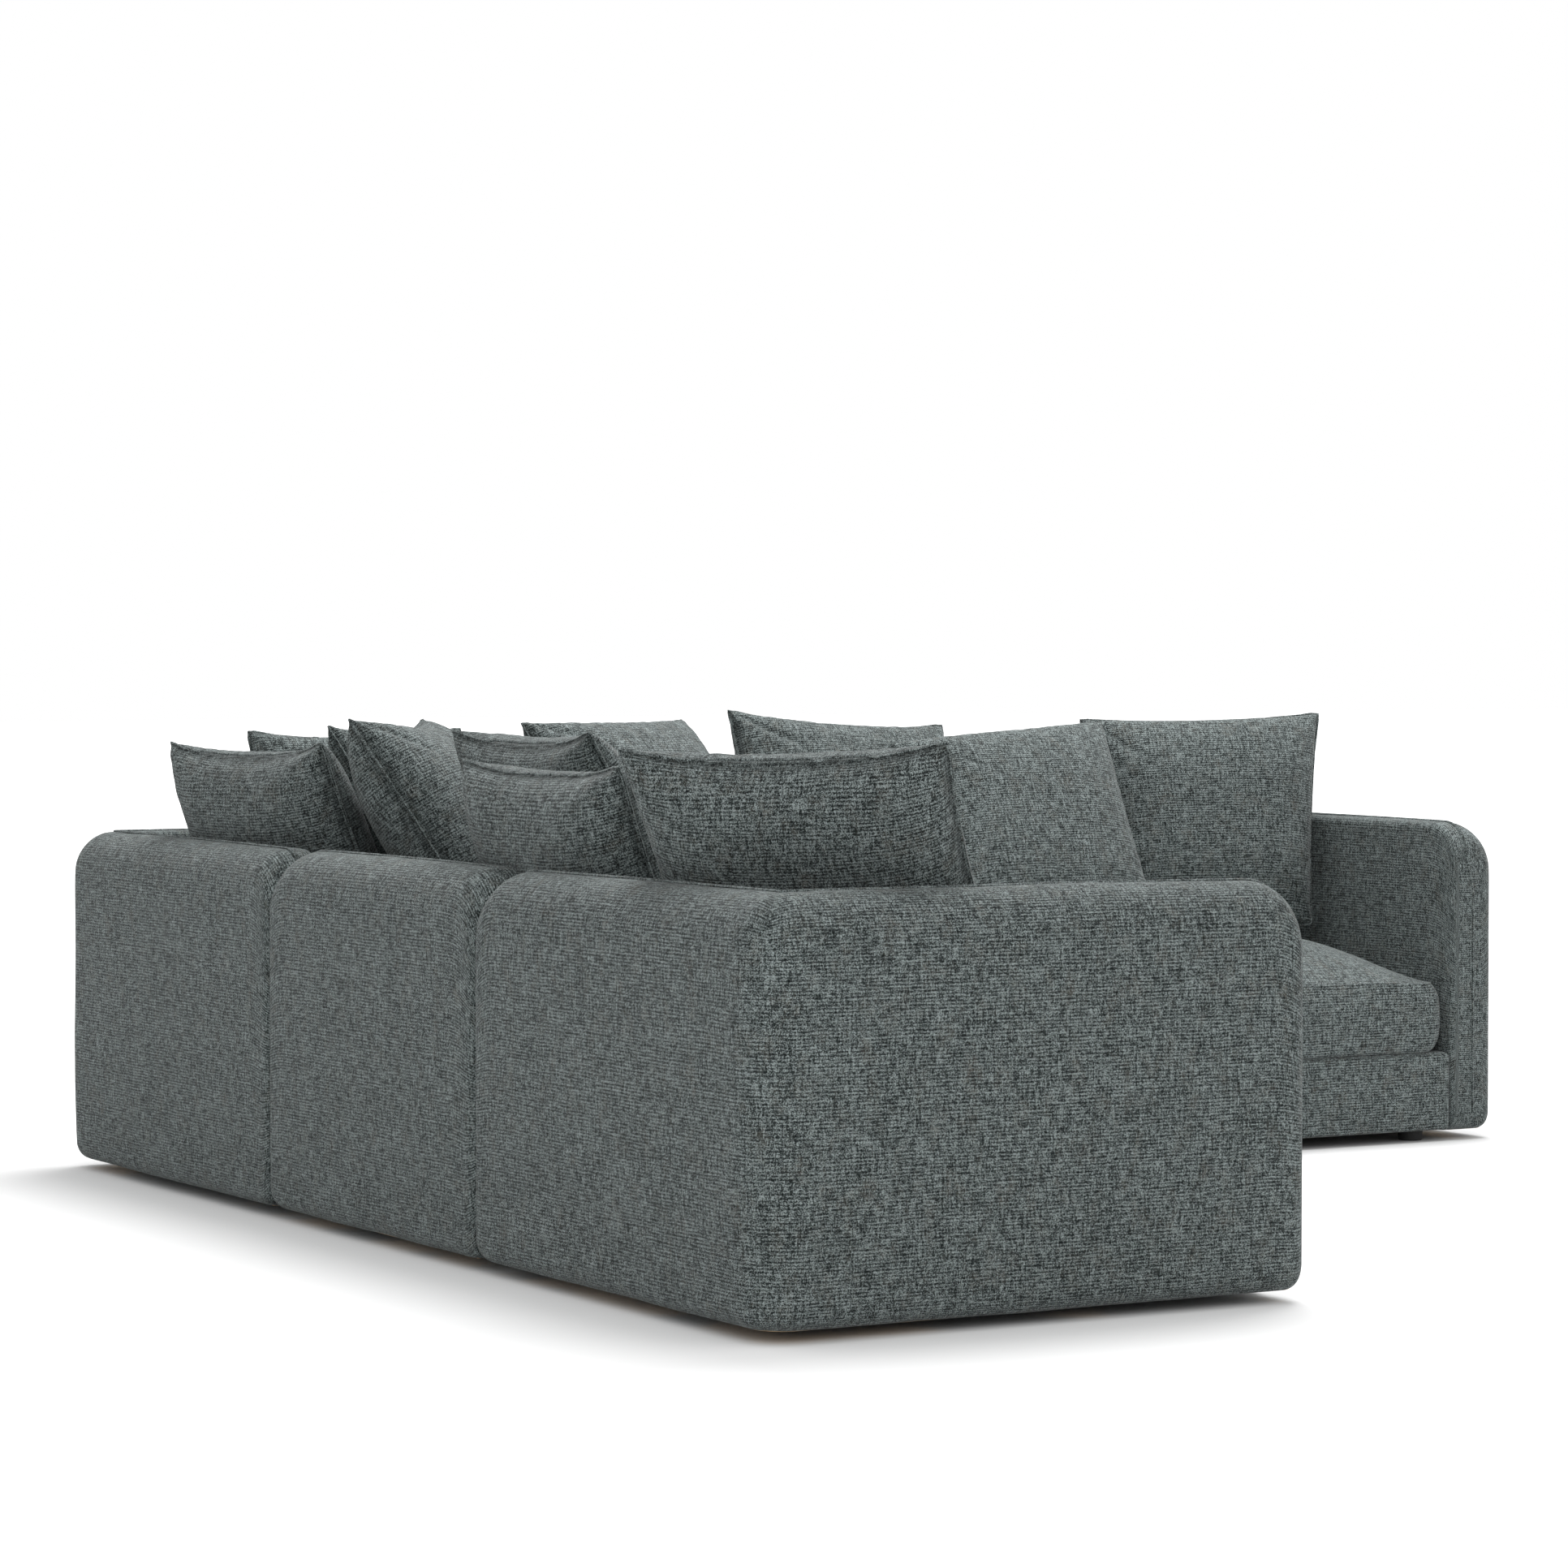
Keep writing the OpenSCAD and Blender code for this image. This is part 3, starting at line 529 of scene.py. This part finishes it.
class Wall:
    """One back or arm, or a back and arm that turn a corner, in its own axes: the outer corner at
    the origin, one leg along x and one along y (leg_y = 0 for a straight wall), z as in the frame."""

    def __init__(self, unit):
        s = self.sizes = bpy.context.scene.sofa_walls
        low, high = node_box(unit + "_wall_cover")
        size = high - low
        corner, x_way, y_way = UNITS[unit][:3]
        rows = [(x_way[a], y_way[a], 0, (low, high)[corner[a]][a]) for a in (0, 1)]
        self.to_frame = Matrix((*rows, (0, 0, 1, 0), (0, 0, 0, 1)))
        self.unit, self.low, self.high = unit, low.z, high.z
        self.ends = [s.arm_edge if unit == free else s.groove for free in ("near_end", "far_end")]
        self.straight = min(size.x, size.y) < 0.5
        self.leg_x, across = (abs(size.x * way[0] + size.y * way[1]) for way in (x_way, y_way))
        self.leg_y = 0.0 if self.straight else across
        thin_low, thin_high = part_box("left_mid_wall_cover")
        self.thick = across if self.straight else thin_high[0] - thin_low[0]

    def squeeze(self, side, up, gone, edge):
        """Rounds the end of a leg: side is from its outer face, gone is how far the end is."""
        s = self.sizes
        out, inn = arc_drop(gone, edge), arc_drop(gone, s.inner_edge)
        top, foot = arc_drop(gone, s.end_top), arc_drop(gone, s.end_foot)
        side = out + side * (self.thick - out - inn) / self.thick
        tall = self.high - self.low
        return side, self.low + foot + (up - self.low) * (tall - top - foot) / tall

    def soften(self, co):
        """Where a point of the square-edged wall lies on the padded one."""
        s = self.sizes
        x, y, z = co
        gone_x, gone_y = self.leg_x - x, self.leg_y - y
        corner_x = math.inf if self.straight else x
        # the shoulder and the outer corner
        full = s.shoulder
        pull = Vector([full - min(c, full) for c in (corner_x, y, self.high - z)])
        if pull.length > full + 1e-6:
            moved = Vector((full, full, full)) - pull.normalized() * full
            if corner_x < full:
                x = corner_x = moved.x
            if y < full:
                y = moved.y
            if self.high - z < full:
                z = self.high - moved.z
        # the toe, in the plane of the depth from the outer face and the rise
        inward = Vector((full - corner_x, full - y)) if corner_x < full and y < full else None
        depth = full - inward.length if inward else min(corner_x, y)
        pull = Vector((s.toe - min(depth, s.toe), s.toe - min(z - self.low, s.toe)))
        if pull.length > s.toe + 1e-6:
            moved = Vector((s.toe, s.toe)) - pull.normalized() * s.toe
            z = self.low + moved.y
            if inward:
                inward = inward.normalized() * (moved.x - depth)
                x, y = x + inward.x, y + inward.y
            elif y <= corner_x:
                y = moved.x
            else:
                x = moved.x
        # the edge of the inner face
        edge = s.inner_edge
        inner = self.thick - (y if self.straight else min(x, y))
        if inner < edge and self.high - z < edge:
            pull = Vector((edge - inner, edge - (self.high - z))).normalized() * edge
            shift = edge - pull.x - inner
            z = self.high - (edge - pull.y)
            if self.straight or y <= x:
                y -= shift
            else:
                x -= shift
        # the ends
        if self.straight:
            y, z = self.squeeze(y, z, min(gone_x, x), self.ends[0])
        elif y <= self.thick + 1e-6 and x > self.thick:
            y, z = self.squeeze(y, z, gone_x, self.ends[0])
        elif y > self.thick:
            x, z = self.squeeze(x, z, gone_y, self.ends[1])
        return Vector((x, y, z))

    def path(self, co):
        """Distance along the outer face from the corner: positive along x, negative along y."""
        if self.straight or co.y <= co.x:
            return co.x
        return -co.y

    def cloth_run(self, flat):
        """Length of cloth along the wall from its outer corner, or from its first end, to a point."""
        run = self.path(flat)
        leg, edge = (self.leg_x, self.ends[0]) if run >= 0 else (self.leg_y, self.ends[1])
        along = abs(run)
        gone = leg - along
        length = along if self.straight else half_run(min(along, leg - edge), self.sizes.shoulder)
        if gone < edge:
            length = (leg - edge if self.straight else length) + edge * math.pi / 2 - round_run(gone, edge)
        elif self.straight and along < edge:
            length = edge - edge * math.pi / 2 + round_run(along, edge)
        return length if run >= 0 else -length

    def cloth_at(self, flat, normal):
        """Cloth coordinates of a point of the square-edged wall, for a face that looks along normal."""
        s = self.sizes
        run = self.path(flat)
        depth = flat.y if run >= 0 else flat.x
        rise = self.high - flat.z
        along = self.cloth_run(flat)
        if abs(normal.z) > 0.9:
            return along, half_run(depth, s.shoulder)
        if depth < 1e-4:
            return along, -half_run(rise, s.shoulder)
        if depth > self.thick - 1e-4:
            return along, half_run(self.thick, s.shoulder) + rise
        edge = self.ends[0] if run >= 0 else self.ends[1]
        across = depth * (self.thick - edge - s.inner_edge) / self.thick
        return along + math.copysign(across, along), -half_run(rise, s.shoulder)

    def shares(self, flat):
        """How far a point is from the ends and how far up, from 0 to 1, and the swelling of the top."""
        run = self.path(flat)
        gone = abs(run) / (self.leg_x if run >= 0 else self.leg_y)
        start = 0.0 if self.straight else -1.0
        along = swell_share((gone - start) / (1 - start))
        rise = (flat.z - self.low) / (self.high - self.low)
        return along, rise, self.sizes.crown * along * max(0.0, rise - 0.5) * 2

    def swell(self, co, flat, normal):
        """The padding's swelling at a point that was at flat on the square-edged wall."""
        along, rise, crown = self.shares(flat)
        level = Vector((normal.x, normal.y, 0))
        move = Vector((0, 0, crown)) + level * self.sizes.swell * along * swell_share(rise)
        seed = Vector((name_number(self.unit), 0, 0))
        return move + normal * uneven(co, seed, *WALL_WAVES) * along

    def build(self):
        """The padded wall, cut from a box that is sliced more closely where it is rounded."""
        s = self.sizes
        bm = new_box(Vector((0, 0, self.low)), Vector((self.leg_x, self.thick, self.high)))
        if not self.straight:
            slice_mesh(bm, 0, [self.thick])
            turn = [f for f in bm.faces if f.normal.y > 0.9 and f.calc_center_median().x < self.thick]
            grown = bmesh.ops.extrude_face_region(bm, geom=turn)["geom"]
            bmesh.ops.delete(bm, geom=turn, context="FACES")
            moved = [g for g in grown if isinstance(g, bmesh.types.BMVert)]
            bmesh.ops.translate(bm, vec=(0, self.leg_y - self.thick, 0), verts=moved)
        ends = (self.straight, True)
        places_x = set(graded(self.leg_x, s.end_top, s.step, ends))
        places_y = set(graded(self.thick, s.shoulder, 0.020, (True, False)))
        places_y |= {self.thick - s.inner_edge * k for k in (0.35, 1.0)}
        if not self.straight:
            places_x |= places_y
            places_y |= set(graded(self.leg_y, s.end_top, s.step, ends))
        slice_mesh(bm, 0, sorted(places_x))
        slice_mesh(bm, 1, sorted(places_y))
        tall = self.high - self.low
        ups = set(graded(tall, s.shoulder, s.step, (False, True))) | {tall - 0.003, tall - s.inner_edge}
        ups |= {s.toe * k for k in (0.1, 0.3, 0.6, 1.0)}
        slice_mesh(bm, 2, [self.low + up for up in sorted(ups)])
        bmesh.ops.remove_doubles(bm, verts=bm.verts, dist=1e-5)
        flats = {v: v.co.copy() for v in bm.verts}
        uv_layer = bm.loops.layers.uv.new("cloth")
        shift = name_number(self.unit)
        bm.normal_update()
        for f in bm.faces:
            for loop in f.loops:
                along, across = self.cloth_at(flats[loop.vert], f.normal)
                loop[uv_layer].uv = (along + shift, across)
        for v in bm.verts:
            v.co = self.soften(v.co)
        bm.normal_update()
        moves = {v: self.swell(v.co, flats[v], v.normal) for v in bm.verts}
        for v, move in moves.items():
            v.co += move
        bmesh.ops.transform(bm, matrix=self.to_frame, verts=bm.verts)
        smooth_once(finish_mesh(bm, self.unit + ".wall", self.unit + "_wall_cover", "upholstery"))

    def leg_seam(self, leg, swap):
        """Points of the welt up the end of one leg and along its top, in the wall's own axes."""
        seams = bpy.context.scene.sofa_seams
        flats = []
        for i in range(24, 0, -1):
            side = seams.inset - (seams.inset - seams.end_inset) * min(1, i / 3)
            flats.append((leg, side, self.high - (self.high - self.low - 0.002) * i / 24))
        top = leg - 0.0005
        for i in range(41):
            share = 1 - math.cos(math.pi / 2 * i / 40)
            flats.append((top - (top - seams.inset) * share, seams.inset, self.high))
        points = []
        for along, side, z in flats:
            flat = Vector((side, along, z) if swap else (along, side, z))
            points.append(self.soften(flat) + Vector((0, 0, self.shares(flat)[2] + 0.0006)))
        return points

    def seam(self):
        """Points of the welt along the top of the wall and down its free ends."""
        points = self.leg_seam(self.leg_x, False)
        if self.straight:
            other = [Vector((self.leg_x - p.x, p.y, p.z)) for p in reversed(points)]
            half = self.leg_x / 2
            points = [p for p in points if p.x >= half] + [p for p in other if p.x < half]
        else:
            points += self.leg_seam(self.leg_y, True)[-2::-1]
        return [self.to_frame @ p for p in points]


class SOFA_OT_walls(bpy.types.Operator):
    """Padded backs and arms of the five units"""

    bl_idname = "sofa.walls"
    bl_label = "Backs and arms"

    def execute(self, context):
        for unit in UNITS:
            wall = Wall(unit)
            wall.build()
            piping(unit + ".wall_piping", wall.seam(), body_of_node(unit + "_wall_cover"), "upholstery")
        return {"FINISHED"}


# ---------------------------------------------------------------- bases and seats


def base_cover(unit):
    """Upholstered base: a box open underneath, soft at its edges, with a thickness."""
    edge = bpy.context.scene.sofa_seats.base_edge
    node = unit + "_base_cover"
    low, high = node_box(node)
    size = high - low
    bm = new_box(Vector((0, 0, 0)), size)
    for axis in (0, 1):
        slice_mesh(bm, axis, graded(size[axis], edge, 0.045))
    slice_mesh(bm, 2, graded(size.z, edge, 0.030, (False, True)))
    bmesh.ops.delete(bm, geom=[f for f in bm.faces if f.normal.z < -0.9], context="FACES")
    seed = Vector((name_number(unit), 3, 0))
    flats = {v: v.co.copy() for v in bm.verts}
    for v in bm.verts:
        near = Vector([min(v.co[a], size[a] - v.co[a], edge) for a in (0, 1)] + [min(size.z - v.co.z, edge)])
        pull = Vector((edge,) * 3) - near
        if sum(1 for c in pull if c > 1e-6) > 1:
            gone = Vector((edge,) * 3) - pull.normalized() * edge
            for a in (0, 1):
                if near[a] < edge:
                    v.co[a] = gone[a] if v.co[a] < size[a] / 2 else size[a] - gone[a]
            if near.z < edge:
                v.co.z = size.z - gone.z
    bm.normal_update()
    moves = {}
    for v, flat in flats.items():
        x_share, y_share, z_share = (swell_share(flat[a] / size[a]) for a in range(3))
        level = Vector((v.normal.x, v.normal.y, 0))
        bulge = level * max(x_share, y_share) * z_share * (BASE_WAVE[1] + uneven(flat, seed, BASE_WAVE))
        moves[v] = bulge - Vector((0, 0, 0.002)) * x_share * y_share
    for v, move in moves.items():
        v.co += move
    bmesh.ops.translate(bm, vec=low, verts=bm.verts)
    bm.normal_update()
    side_uv(bm, name_number(node))
    obj = finish_mesh(bm, unit + ".base", node, "upholstery")
    wall = obj.modifiers.new("padding", "SOLIDIFY")
    wall.thickness = 0.010
    wall.offset = -1
    smooth_once(obj)


def seat_cushion(unit):
    """Domed seat cushion, level towards the walls and rounded at the front and between seats."""
    s = bpy.context.scene.sofa_seats
    back = UNITS[unit][3]
    node = unit + "_seat"
    low, high = node_box(node)
    size = high - low
    half = Vector((size.x / 2, size.y / 2, 0))
    crown = size.z - s.side
    bm = new_box(Vector((-half.x, -half.y, 0)), Vector((half.x, half.y, s.side)))
    for axis in (0, 1):
        slice_mesh(bm, axis, [p - half[axis] for p in graded(size[axis], s.corner, 0.022)])
    slice_mesh(bm, 2, graded(s.side, 0.040, 0.020))
    seed = Vector((name_number(node), 0, 0))
    flats = {v: v.co.copy() for v in bm.verts}
    for v in bm.verts:
        x, y, z = v.co
        tx, ty = x / half.x, y / half.y
        # upright corners
        cx, cy = max(abs(x) - (half.x - s.corner), 0), max(abs(y) - (half.y - s.corner), 0)
        if cx > 1e-6 and cy > 1e-6:
            short = max(cx, cy) / math.hypot(cx, cy)
            x = math.copysign(half.x - s.corner + cx * short, x)
            y = math.copysign(half.y - s.corner + cy * short, y)
        # the edges of the sides are drawn in
        up = z / s.side
        out = max(abs(tx), abs(ty))
        tuck = s.tuck * (1 - swell_share(up)) if out > 0.999 else s.tuck * out ** 8
        x -= math.copysign(tuck, x) * min(1, abs(tx) ** 2)
        y -= math.copysign(tuck, y) * min(1, abs(ty) ** 2)
        # the top is domed
        level_x = s.back_level if tx * back[0] > 0 else s.level
        level_y = s.back_level if ty * back[1] > 0 else s.level
        lift = crown * dome(min(1, abs(x) / half.x), level_x) * dome(min(1, abs(y) / half.y), level_y)
        if up > 0.999:
            z = s.side + lift
        elif up > 0.5:
            z += lift * ((up - 0.5) * 2) ** 3 * 0.5
        v.co = (x, y, z)
    rim = [v for v, flat in flats.items()
           if flat.z > 0.6 * s.side and max(abs(flat.x) / half.x, abs(flat.y) / half.y) > 0.9]
    for _ in range(3):
        bmesh.ops.smooth_vert(bm, verts=rim, factor=0.5, use_axis_x=True, use_axis_y=True, use_axis_z=True)
    bm.normal_update()
    for v, flat in flats.items():
        if flat.z > 0.01:
            v.co += v.normal * (uneven(flat, seed, *SEAT_WAVES) - 0.0015)
    bmesh.ops.translate(bm, vec=Vector(((low.x + high.x) / 2, (low.y + high.y) / 2, low.z)), verts=bm.verts)
    bm.normal_update()
    side_uv(bm, name_number(node))
    smooth_once(finish_mesh(bm, unit + ".seat", node, "seat_upholstery"))


class SOFA_OT_bases(bpy.types.Operator):
    """Upholstered bases under the seats"""

    bl_idname = "sofa.bases"
    bl_label = "Bases"

    def execute(self, context):
        for unit in UNITS:
            base_cover(unit)
        return {"FINISHED"}


class SOFA_OT_seats(bpy.types.Operator):
    """Domed seat cushions"""

    bl_idname = "sofa.seats"
    bl_label = "Seat cushions"

    def execute(self, context):
        for unit in UNITS:
            seat_cushion(unit)
        return {"FINISHED"}


# ---------------------------------------------------------------- loose cushions


def cushion_depth(u, v, thickness, power):
    """Half the thickness of a stuffed cushion: u and v from -1 to 1."""
    return thickness / 2 * math.sqrt(max(0.0, (1 - abs(u) ** power) * (1 - abs(v) ** power)))


def cushion_point(u, v, depth, width, height, draw_in):
    """Point of a cushion that stands on its lower seam, at this depth from the plane of its seams."""
    x = u * (width / 2 - bpy.context.scene.sofa_cushions.side_draw * (1 - v * v))
    z = height / 2 + v * (height / 2 - (draw_in if v > 0 else 0) * (1 - u * u))
    return Vector((x, depth, z))


def cushion_matrix(node):
    """Where the cushion stands: its turn and lean, moved to the box of the CAD node."""
    s = bpy.context.scene.sofa_cushions
    turn, lean, roll, width, height = CUSHIONS[node][:5]
    turned = Matrix.Identity(4)
    for degrees, axis in ((turn, "Z"), (-lean, "X"), (roll, "Y")):
        turned = turned @ Matrix.Rotation(math.radians(degrees), 4, axis)
    edge = [-math.cos(math.pi * i / 7) for i in range(8)]
    rim = [(t, w) for t in edge for w in (-1, 1)] + [(w, t) for t in edge for w in (-1, 1)]
    reach = []
    for share in (0.45, 0.75, 0.93, 1):
        for u, v in rim:
            depth = cushion_depth(u * share, v * share, s.packed_thickness, s.packed_fullness)
            for side in (-depth, depth):
                reach.append(turned @ cushion_point(u * share, v * share, side, width, height, s.draw_in))
    own_low, own_high = (Vector([pick(p[a] for p in reach) for a in range(3)]) for pick in (min, max))
    low, high = node_box(node)
    return Matrix.Translation((low + high) / 2 - (own_low + own_high) / 2) @ turned


def blow_up(obj, flat):
    """Cloth simulation of the filling's pressure in cloth that was cut flat; each point moves a little."""
    cap = bpy.context.scene.sofa_cushions.stretch_cap
    scene = bpy.context.scene
    start = [v.co.copy() for v in obj.data.vertices]
    obj.shape_key_add(name="Basis")
    cut = obj.shape_key_add(name="cut")
    for point, co in zip(cut.data, flat):
        point.co = co
    corners = obj.vertex_groups.new(name="corners")
    width, height = max(c.x for c in flat), max(c.z for c in flat)
    held = [i for i, c in enumerate(flat) if abs(c.x) > width - 1e-4 and not 1e-4 < c.z < height - 1e-4]
    corners.add(held, 1.0, "REPLACE")
    filling = obj.modifiers.new("filling", "CLOTH")
    cloth = filling.settings
    cloth.quality = 6
    cloth.mass = 0.15
    cloth.air_damping = 3
    cloth.use_pressure = True
    cloth.uniform_pressure_force = scene.sofa_cushions.pressure
    cloth.effector_weights.gravity = 0
    cloth.tension_stiffness = cloth.compression_stiffness = 12
    cloth.shear_stiffness = 6
    cloth.bending_stiffness = 0.6
    cloth.rest_shape_key = cut
    cloth.vertex_group_mass = "corners"
    filling.point_cache.frame_start, filling.point_cache.frame_end = 1, SIMULATED_FRAMES
    for f in range(1, SIMULATED_FRAMES + 1):
        scene.frame_set(f)
    shaped = obj.evaluated_get(bpy.context.evaluated_depsgraph_get()).to_mesh()
    ends = [v.co.copy() for v in shaped.vertices]
    obj.modifiers.remove(filling)
    obj.shape_key_clear()
    scene.frame_set(1)
    for v, a, b in zip(obj.data.vertices, start, ends):
        far = (b - a).length
        v.co = a + (b - a) * (cap * math.tanh(far / cap) / far if far > 1e-9 else 0)


def loose_cushion(node):
    """Stuffed cushion with knife edges, pointed corners, puckered seams and a welt."""
    s = bpy.context.scene.sofa_cushions
    width, height, dip, front, back = CUSHIONS[node][3:]
    n = s.slices
    bm = new_box(Vector((-1, -0.5, -1)), Vector((1, 0.5, 1)))
    grid = [0.5 * math.sin(math.pi / 2 * (2 * i / n - 1)) + 0.5 * (2 * i / n - 1) for i in range(1, n)]
    slice_mesh(bm, 0, grid)
    slice_mesh(bm, 2, grid)
    bm.verts.index_update()
    seed = Vector((name_number(node), 1, 0))
    painted_seam_shade = bm.verts.layers.float.new("painted_seam_shade")
    flat = []
    for v in bm.verts:
        u, side, w = v.co.x, math.copysign(1, v.co.y), v.co.z
        inner = [clamp(t / (1 - 2 * s.flange / length), -1) for t, length in ((u, width), (w, height))]
        depth = cushion_depth(*inner, s.thickness * (front if side < 0 else back), s.fullness)
        sunk = dip * (abs(w) ** s.roll if side < 0 else 1.0)
        p = cushion_point(u, w, side * depth, width, height, sunk)
        for (end, top), (dx, dz) in EASED_CORNERS.get(node, {}).items():
            share = ((1 + u * end) / 2) ** 2 * ((1 + w * top) / 2) ** 2
            p.x += dx * share
            p.z += dz * share
        tip = math.prod(max(0.0, abs(t) - (1 - TIP_SPAN)) / TIP_SPAN for t in (u, w))
        p.x -= math.copysign(s.tip * tip, u)
        p.z -= math.copysign(s.tip * tip, w)
        p.y = math.copysign(max(abs(p.y), SEAM_HALF + s.tip * 0.4 * tip), side)
        edge = min((1 - abs(u)) * width / 2, (1 - abs(w)) * height / 2)
        # painted shade: the flange next to the seam is marked to be drawn darker, as the welt's shade
        v[painted_seam_shade] = PAINTED_SEAM_SHADE if edge < s.flange else 0.0
        near = math.exp(-edge / PUCKER_REACH) * (1 - math.exp(-edge / PUCKER_START))
        ahead = u * width if 1 - abs(u) > 1 - abs(w) else w * height
        pucker = noise.noise(PUCKER_REPEATS * Vector((ahead, side, edge)) + seed) * near * s.pucker
        slack = noise.noise(SLACK_REPEATS * Vector((p.x, side, p.z)) + seed) * SLACK_HEIGHT * (1 - near)
        p.y += side * (pucker + slack * min(1, edge / SLACK_REACH))
        v.co = p
        flat_x, flat_z = u * width / 2 * s.cloth_spare, w * height / 2 * s.cloth_spare
        flat.append(Vector((flat_x, side * SEAM_HALF, height / 2 + flat_z)))
    bm.normal_update()
    side_uv(bm, name_number(node))
    obj = finish_mesh(bm, node.replace("_cushion", ".cushion"), node, "cushion_upholstery")
    blow_up(obj, flat)
    place = cushion_matrix(node)
    welt = seam_loop(obj.data, place, width, height)
    obj.data.transform(place)
    smooth_once(obj)
    name = node.replace("_cushion", ".cushion_piping")
    piping(name, welt, body_of_node(node), "cushion_upholstery", closed=True)


def seam_loop(mesh, place, width, height):
    """Points of the seam in order round the cushion, from the mesh's rim."""
    points = []
    for e in mesh.edges:
        a, b = (mesh.vertices[i].co for i in e.vertices)
        if a.y * b.y < 0 and (a - b).length < 0.02:
            points.append((a + b) / 2)
    centre = Vector((0, 0, height / 2))
    points.sort(key=lambda p: math.atan2((p.z - centre.z) / height, p.x / width))
    return [place @ p for p in points]


class SOFA_OT_cushions(bpy.types.Operator):
    """Loose back cushions"""

    bl_idname = "sofa.cushions"
    bl_label = "Loose cushions"

    def execute(self, context):
        for node in CUSHIONS:
            loose_cushion(node)
        return {"FINISHED"}


# ---------------------------------------------------------------- carcase


class SOFA_OT_carcase(bpy.types.Operator):
    """Finishes of the timber frames and the straps that stay as packed"""

    bl_idname = "sofa.carcase"
    bl_label = "Frames and straps"

    def execute(self, context):
        for name, (*looks, endings) in FINISHES.items():
            material = grain_material(name, *looks)
            for node, obj in frame["nodes"].items():
                if node.endswith(endings):
                    set_material(obj, material)
        return {"FINISHED"}


def set_material(obj, material):
    if obj.material_slots:
        for slot in obj.material_slots:
            slot.material = material
    else:
        obj.data.materials.append(material)


# ---------------------------------------------------------------- stage


def add_lamp(name, place, aim, size, power):
    data = bpy.data.lights.new(name, "AREA")
    data.shape = "DISK"
    data.size = size
    data.energy = power
    lamp = add_object(name, data)
    lamp.location = place
    lamp.rotation_mode = "QUATERNION"
    lamp.rotation_quaternion = (Vector(aim) - Vector(place)).to_track_quat("-Z", "Y")


def seen_directly(kit):
    """1 for camera, glossy and transmission rays."""
    path = kit.add("LightPath").outputs
    first = kit.math("MAXIMUM", path["Is Camera Ray"], path["Is Glossy Ray"])
    return kit.math("MAXIMUM", first, path["Is Transmission Ray"])


def white_world(strength):
    """Even white light, and plain white where the camera sees past the floor."""
    world = bpy.data.worlds.new("studio")
    bpy.context.scene.world = world
    world.use_nodes = True
    kit = Shading(world.node_tree)
    light = kit.span(seen_directly(kit), to_low=strength)
    kit.feed(kit.nodes["Background"], {"Color": (1, 1, 1, 1), "Strength": light})


def studio_floor(brightness):
    """Pale floor that keeps the shadow; its own white is added for the camera, less of it near the
    sofa and least where the sofa shuts off the sky."""
    mat, kit = new_material("studio_floor")
    away = kit.add("VectorMath", {0: kit.add("TexCoord").outputs["Object"]}, operation="LENGTH")
    span = (FLOOR_NEAR, FLOOR_FAR, FLOOR_LEAST)
    white = kit.span(away.outputs["Value"], *span, interpolation_type="SMOOTHSTEP")
    open_sky = kit.add("AmbientOcclusion", {"Distance": SKY_REACH}, samples=8)
    white = kit.math("MULTIPLY", white, seen_directly(kit))
    white = kit.math("MULTIPLY", white, kit.math("POWER", open_sky.outputs["AO"], SKY_POWER))
    surface = {"Base Color": (brightness,) * 3 + (1,), "Roughness": 1.0, "Specular IOR Level": 0.0}
    own = {"Emission Color": (1, 1, 1, 1), "Emission Strength": white}
    kit.feed(kit.nodes["Principled BSDF"], {**surface, **own})
    bm = bmesh.new()
    bmesh.ops.create_grid(bm, x_segments=8, y_segments=8, size=60)
    mesh_object(bm, "floor", mat)


class SOFA_OT_stage(bpy.types.Operator):
    """Camera, floor and soft light"""

    bl_idname = "sofa.stage"
    bl_label = "Stage"

    def execute(self, context):
        look = context.scene.sofa_stage
        data = bpy.data.cameras.new("camera")
        data.sensor_width = 36
        data.lens = look.lens
        data.clip_end = 200
        camera = add_object("camera", data)
        camera.location = look.stand
        camera.rotation_euler = Euler((math.pi / 2 - look.pitch, 0, -look.heading))
        context.scene.camera = camera
        white_world(look.sky)
        studio_floor(look.floor)
        add_lamp("overhead", (1.5, 1.5, 6.0), (0, 0, 0), 5.0, look.key)
        add_lamp("beside_camera", (-4.2, -6.8, 3.5), (-0.5, 0, 0.5), 4.0, look.fill)
        context.scene.view_settings.view_transform = "Standard"
        return {"FINISHED"}


class SOFA_PT_panel(bpy.types.Panel):
    """Builds the sofa piece by piece"""

    bl_label = "Corner sofa"
    bl_space_type = "VIEW_3D"
    bl_region_type = "UI"
    bl_category = "Sofa"

    def draw(self, context):
        for operator in OPERATORS:
            self.layout.operator(operator.bl_idname)
        for name, group in GROUPS.items():
            box = self.layout.box()
            for prop in group.__annotations__:
                box.prop(getattr(context.scene, name), prop)


GROUPS = {
    "sofa_walls": WallSizes,
    "sofa_cushions": CushionSizes,
    "sofa_seats": SeatSizes,
    "sofa_seams": SeamSizes,
    "sofa_cloth": ClothLook,
    "sofa_stage": StageLook,
}
OPERATORS = (SOFA_OT_stage, SOFA_OT_carcase, SOFA_OT_walls, SOFA_OT_bases, SOFA_OT_seats, SOFA_OT_cushions)


def register():
    for cls in (*GROUPS.values(), *OPERATORS, SOFA_PT_panel):
        bpy.utils.register_class(cls)
    for name, group in GROUPS.items():
        setattr(bpy.types.Scene, name, PointerProperty(type=group))


def unregister():
    for name in GROUPS:
        delattr(bpy.types.Scene, name)
    for cls in reversed((*GROUPS.values(), *OPERATORS, SOFA_PT_panel)):
        bpy.utils.unregister_class(cls)


def main():
    register()
    bpy.ops.sofa.stage()
    bpy.ops.sofa.carcase()
    bpy.ops.sofa.walls()
    bpy.ops.sofa.bases()
    bpy.ops.sofa.seats()
    bpy.ops.sofa.cushions()


if __name__ == "__main__":
    main()
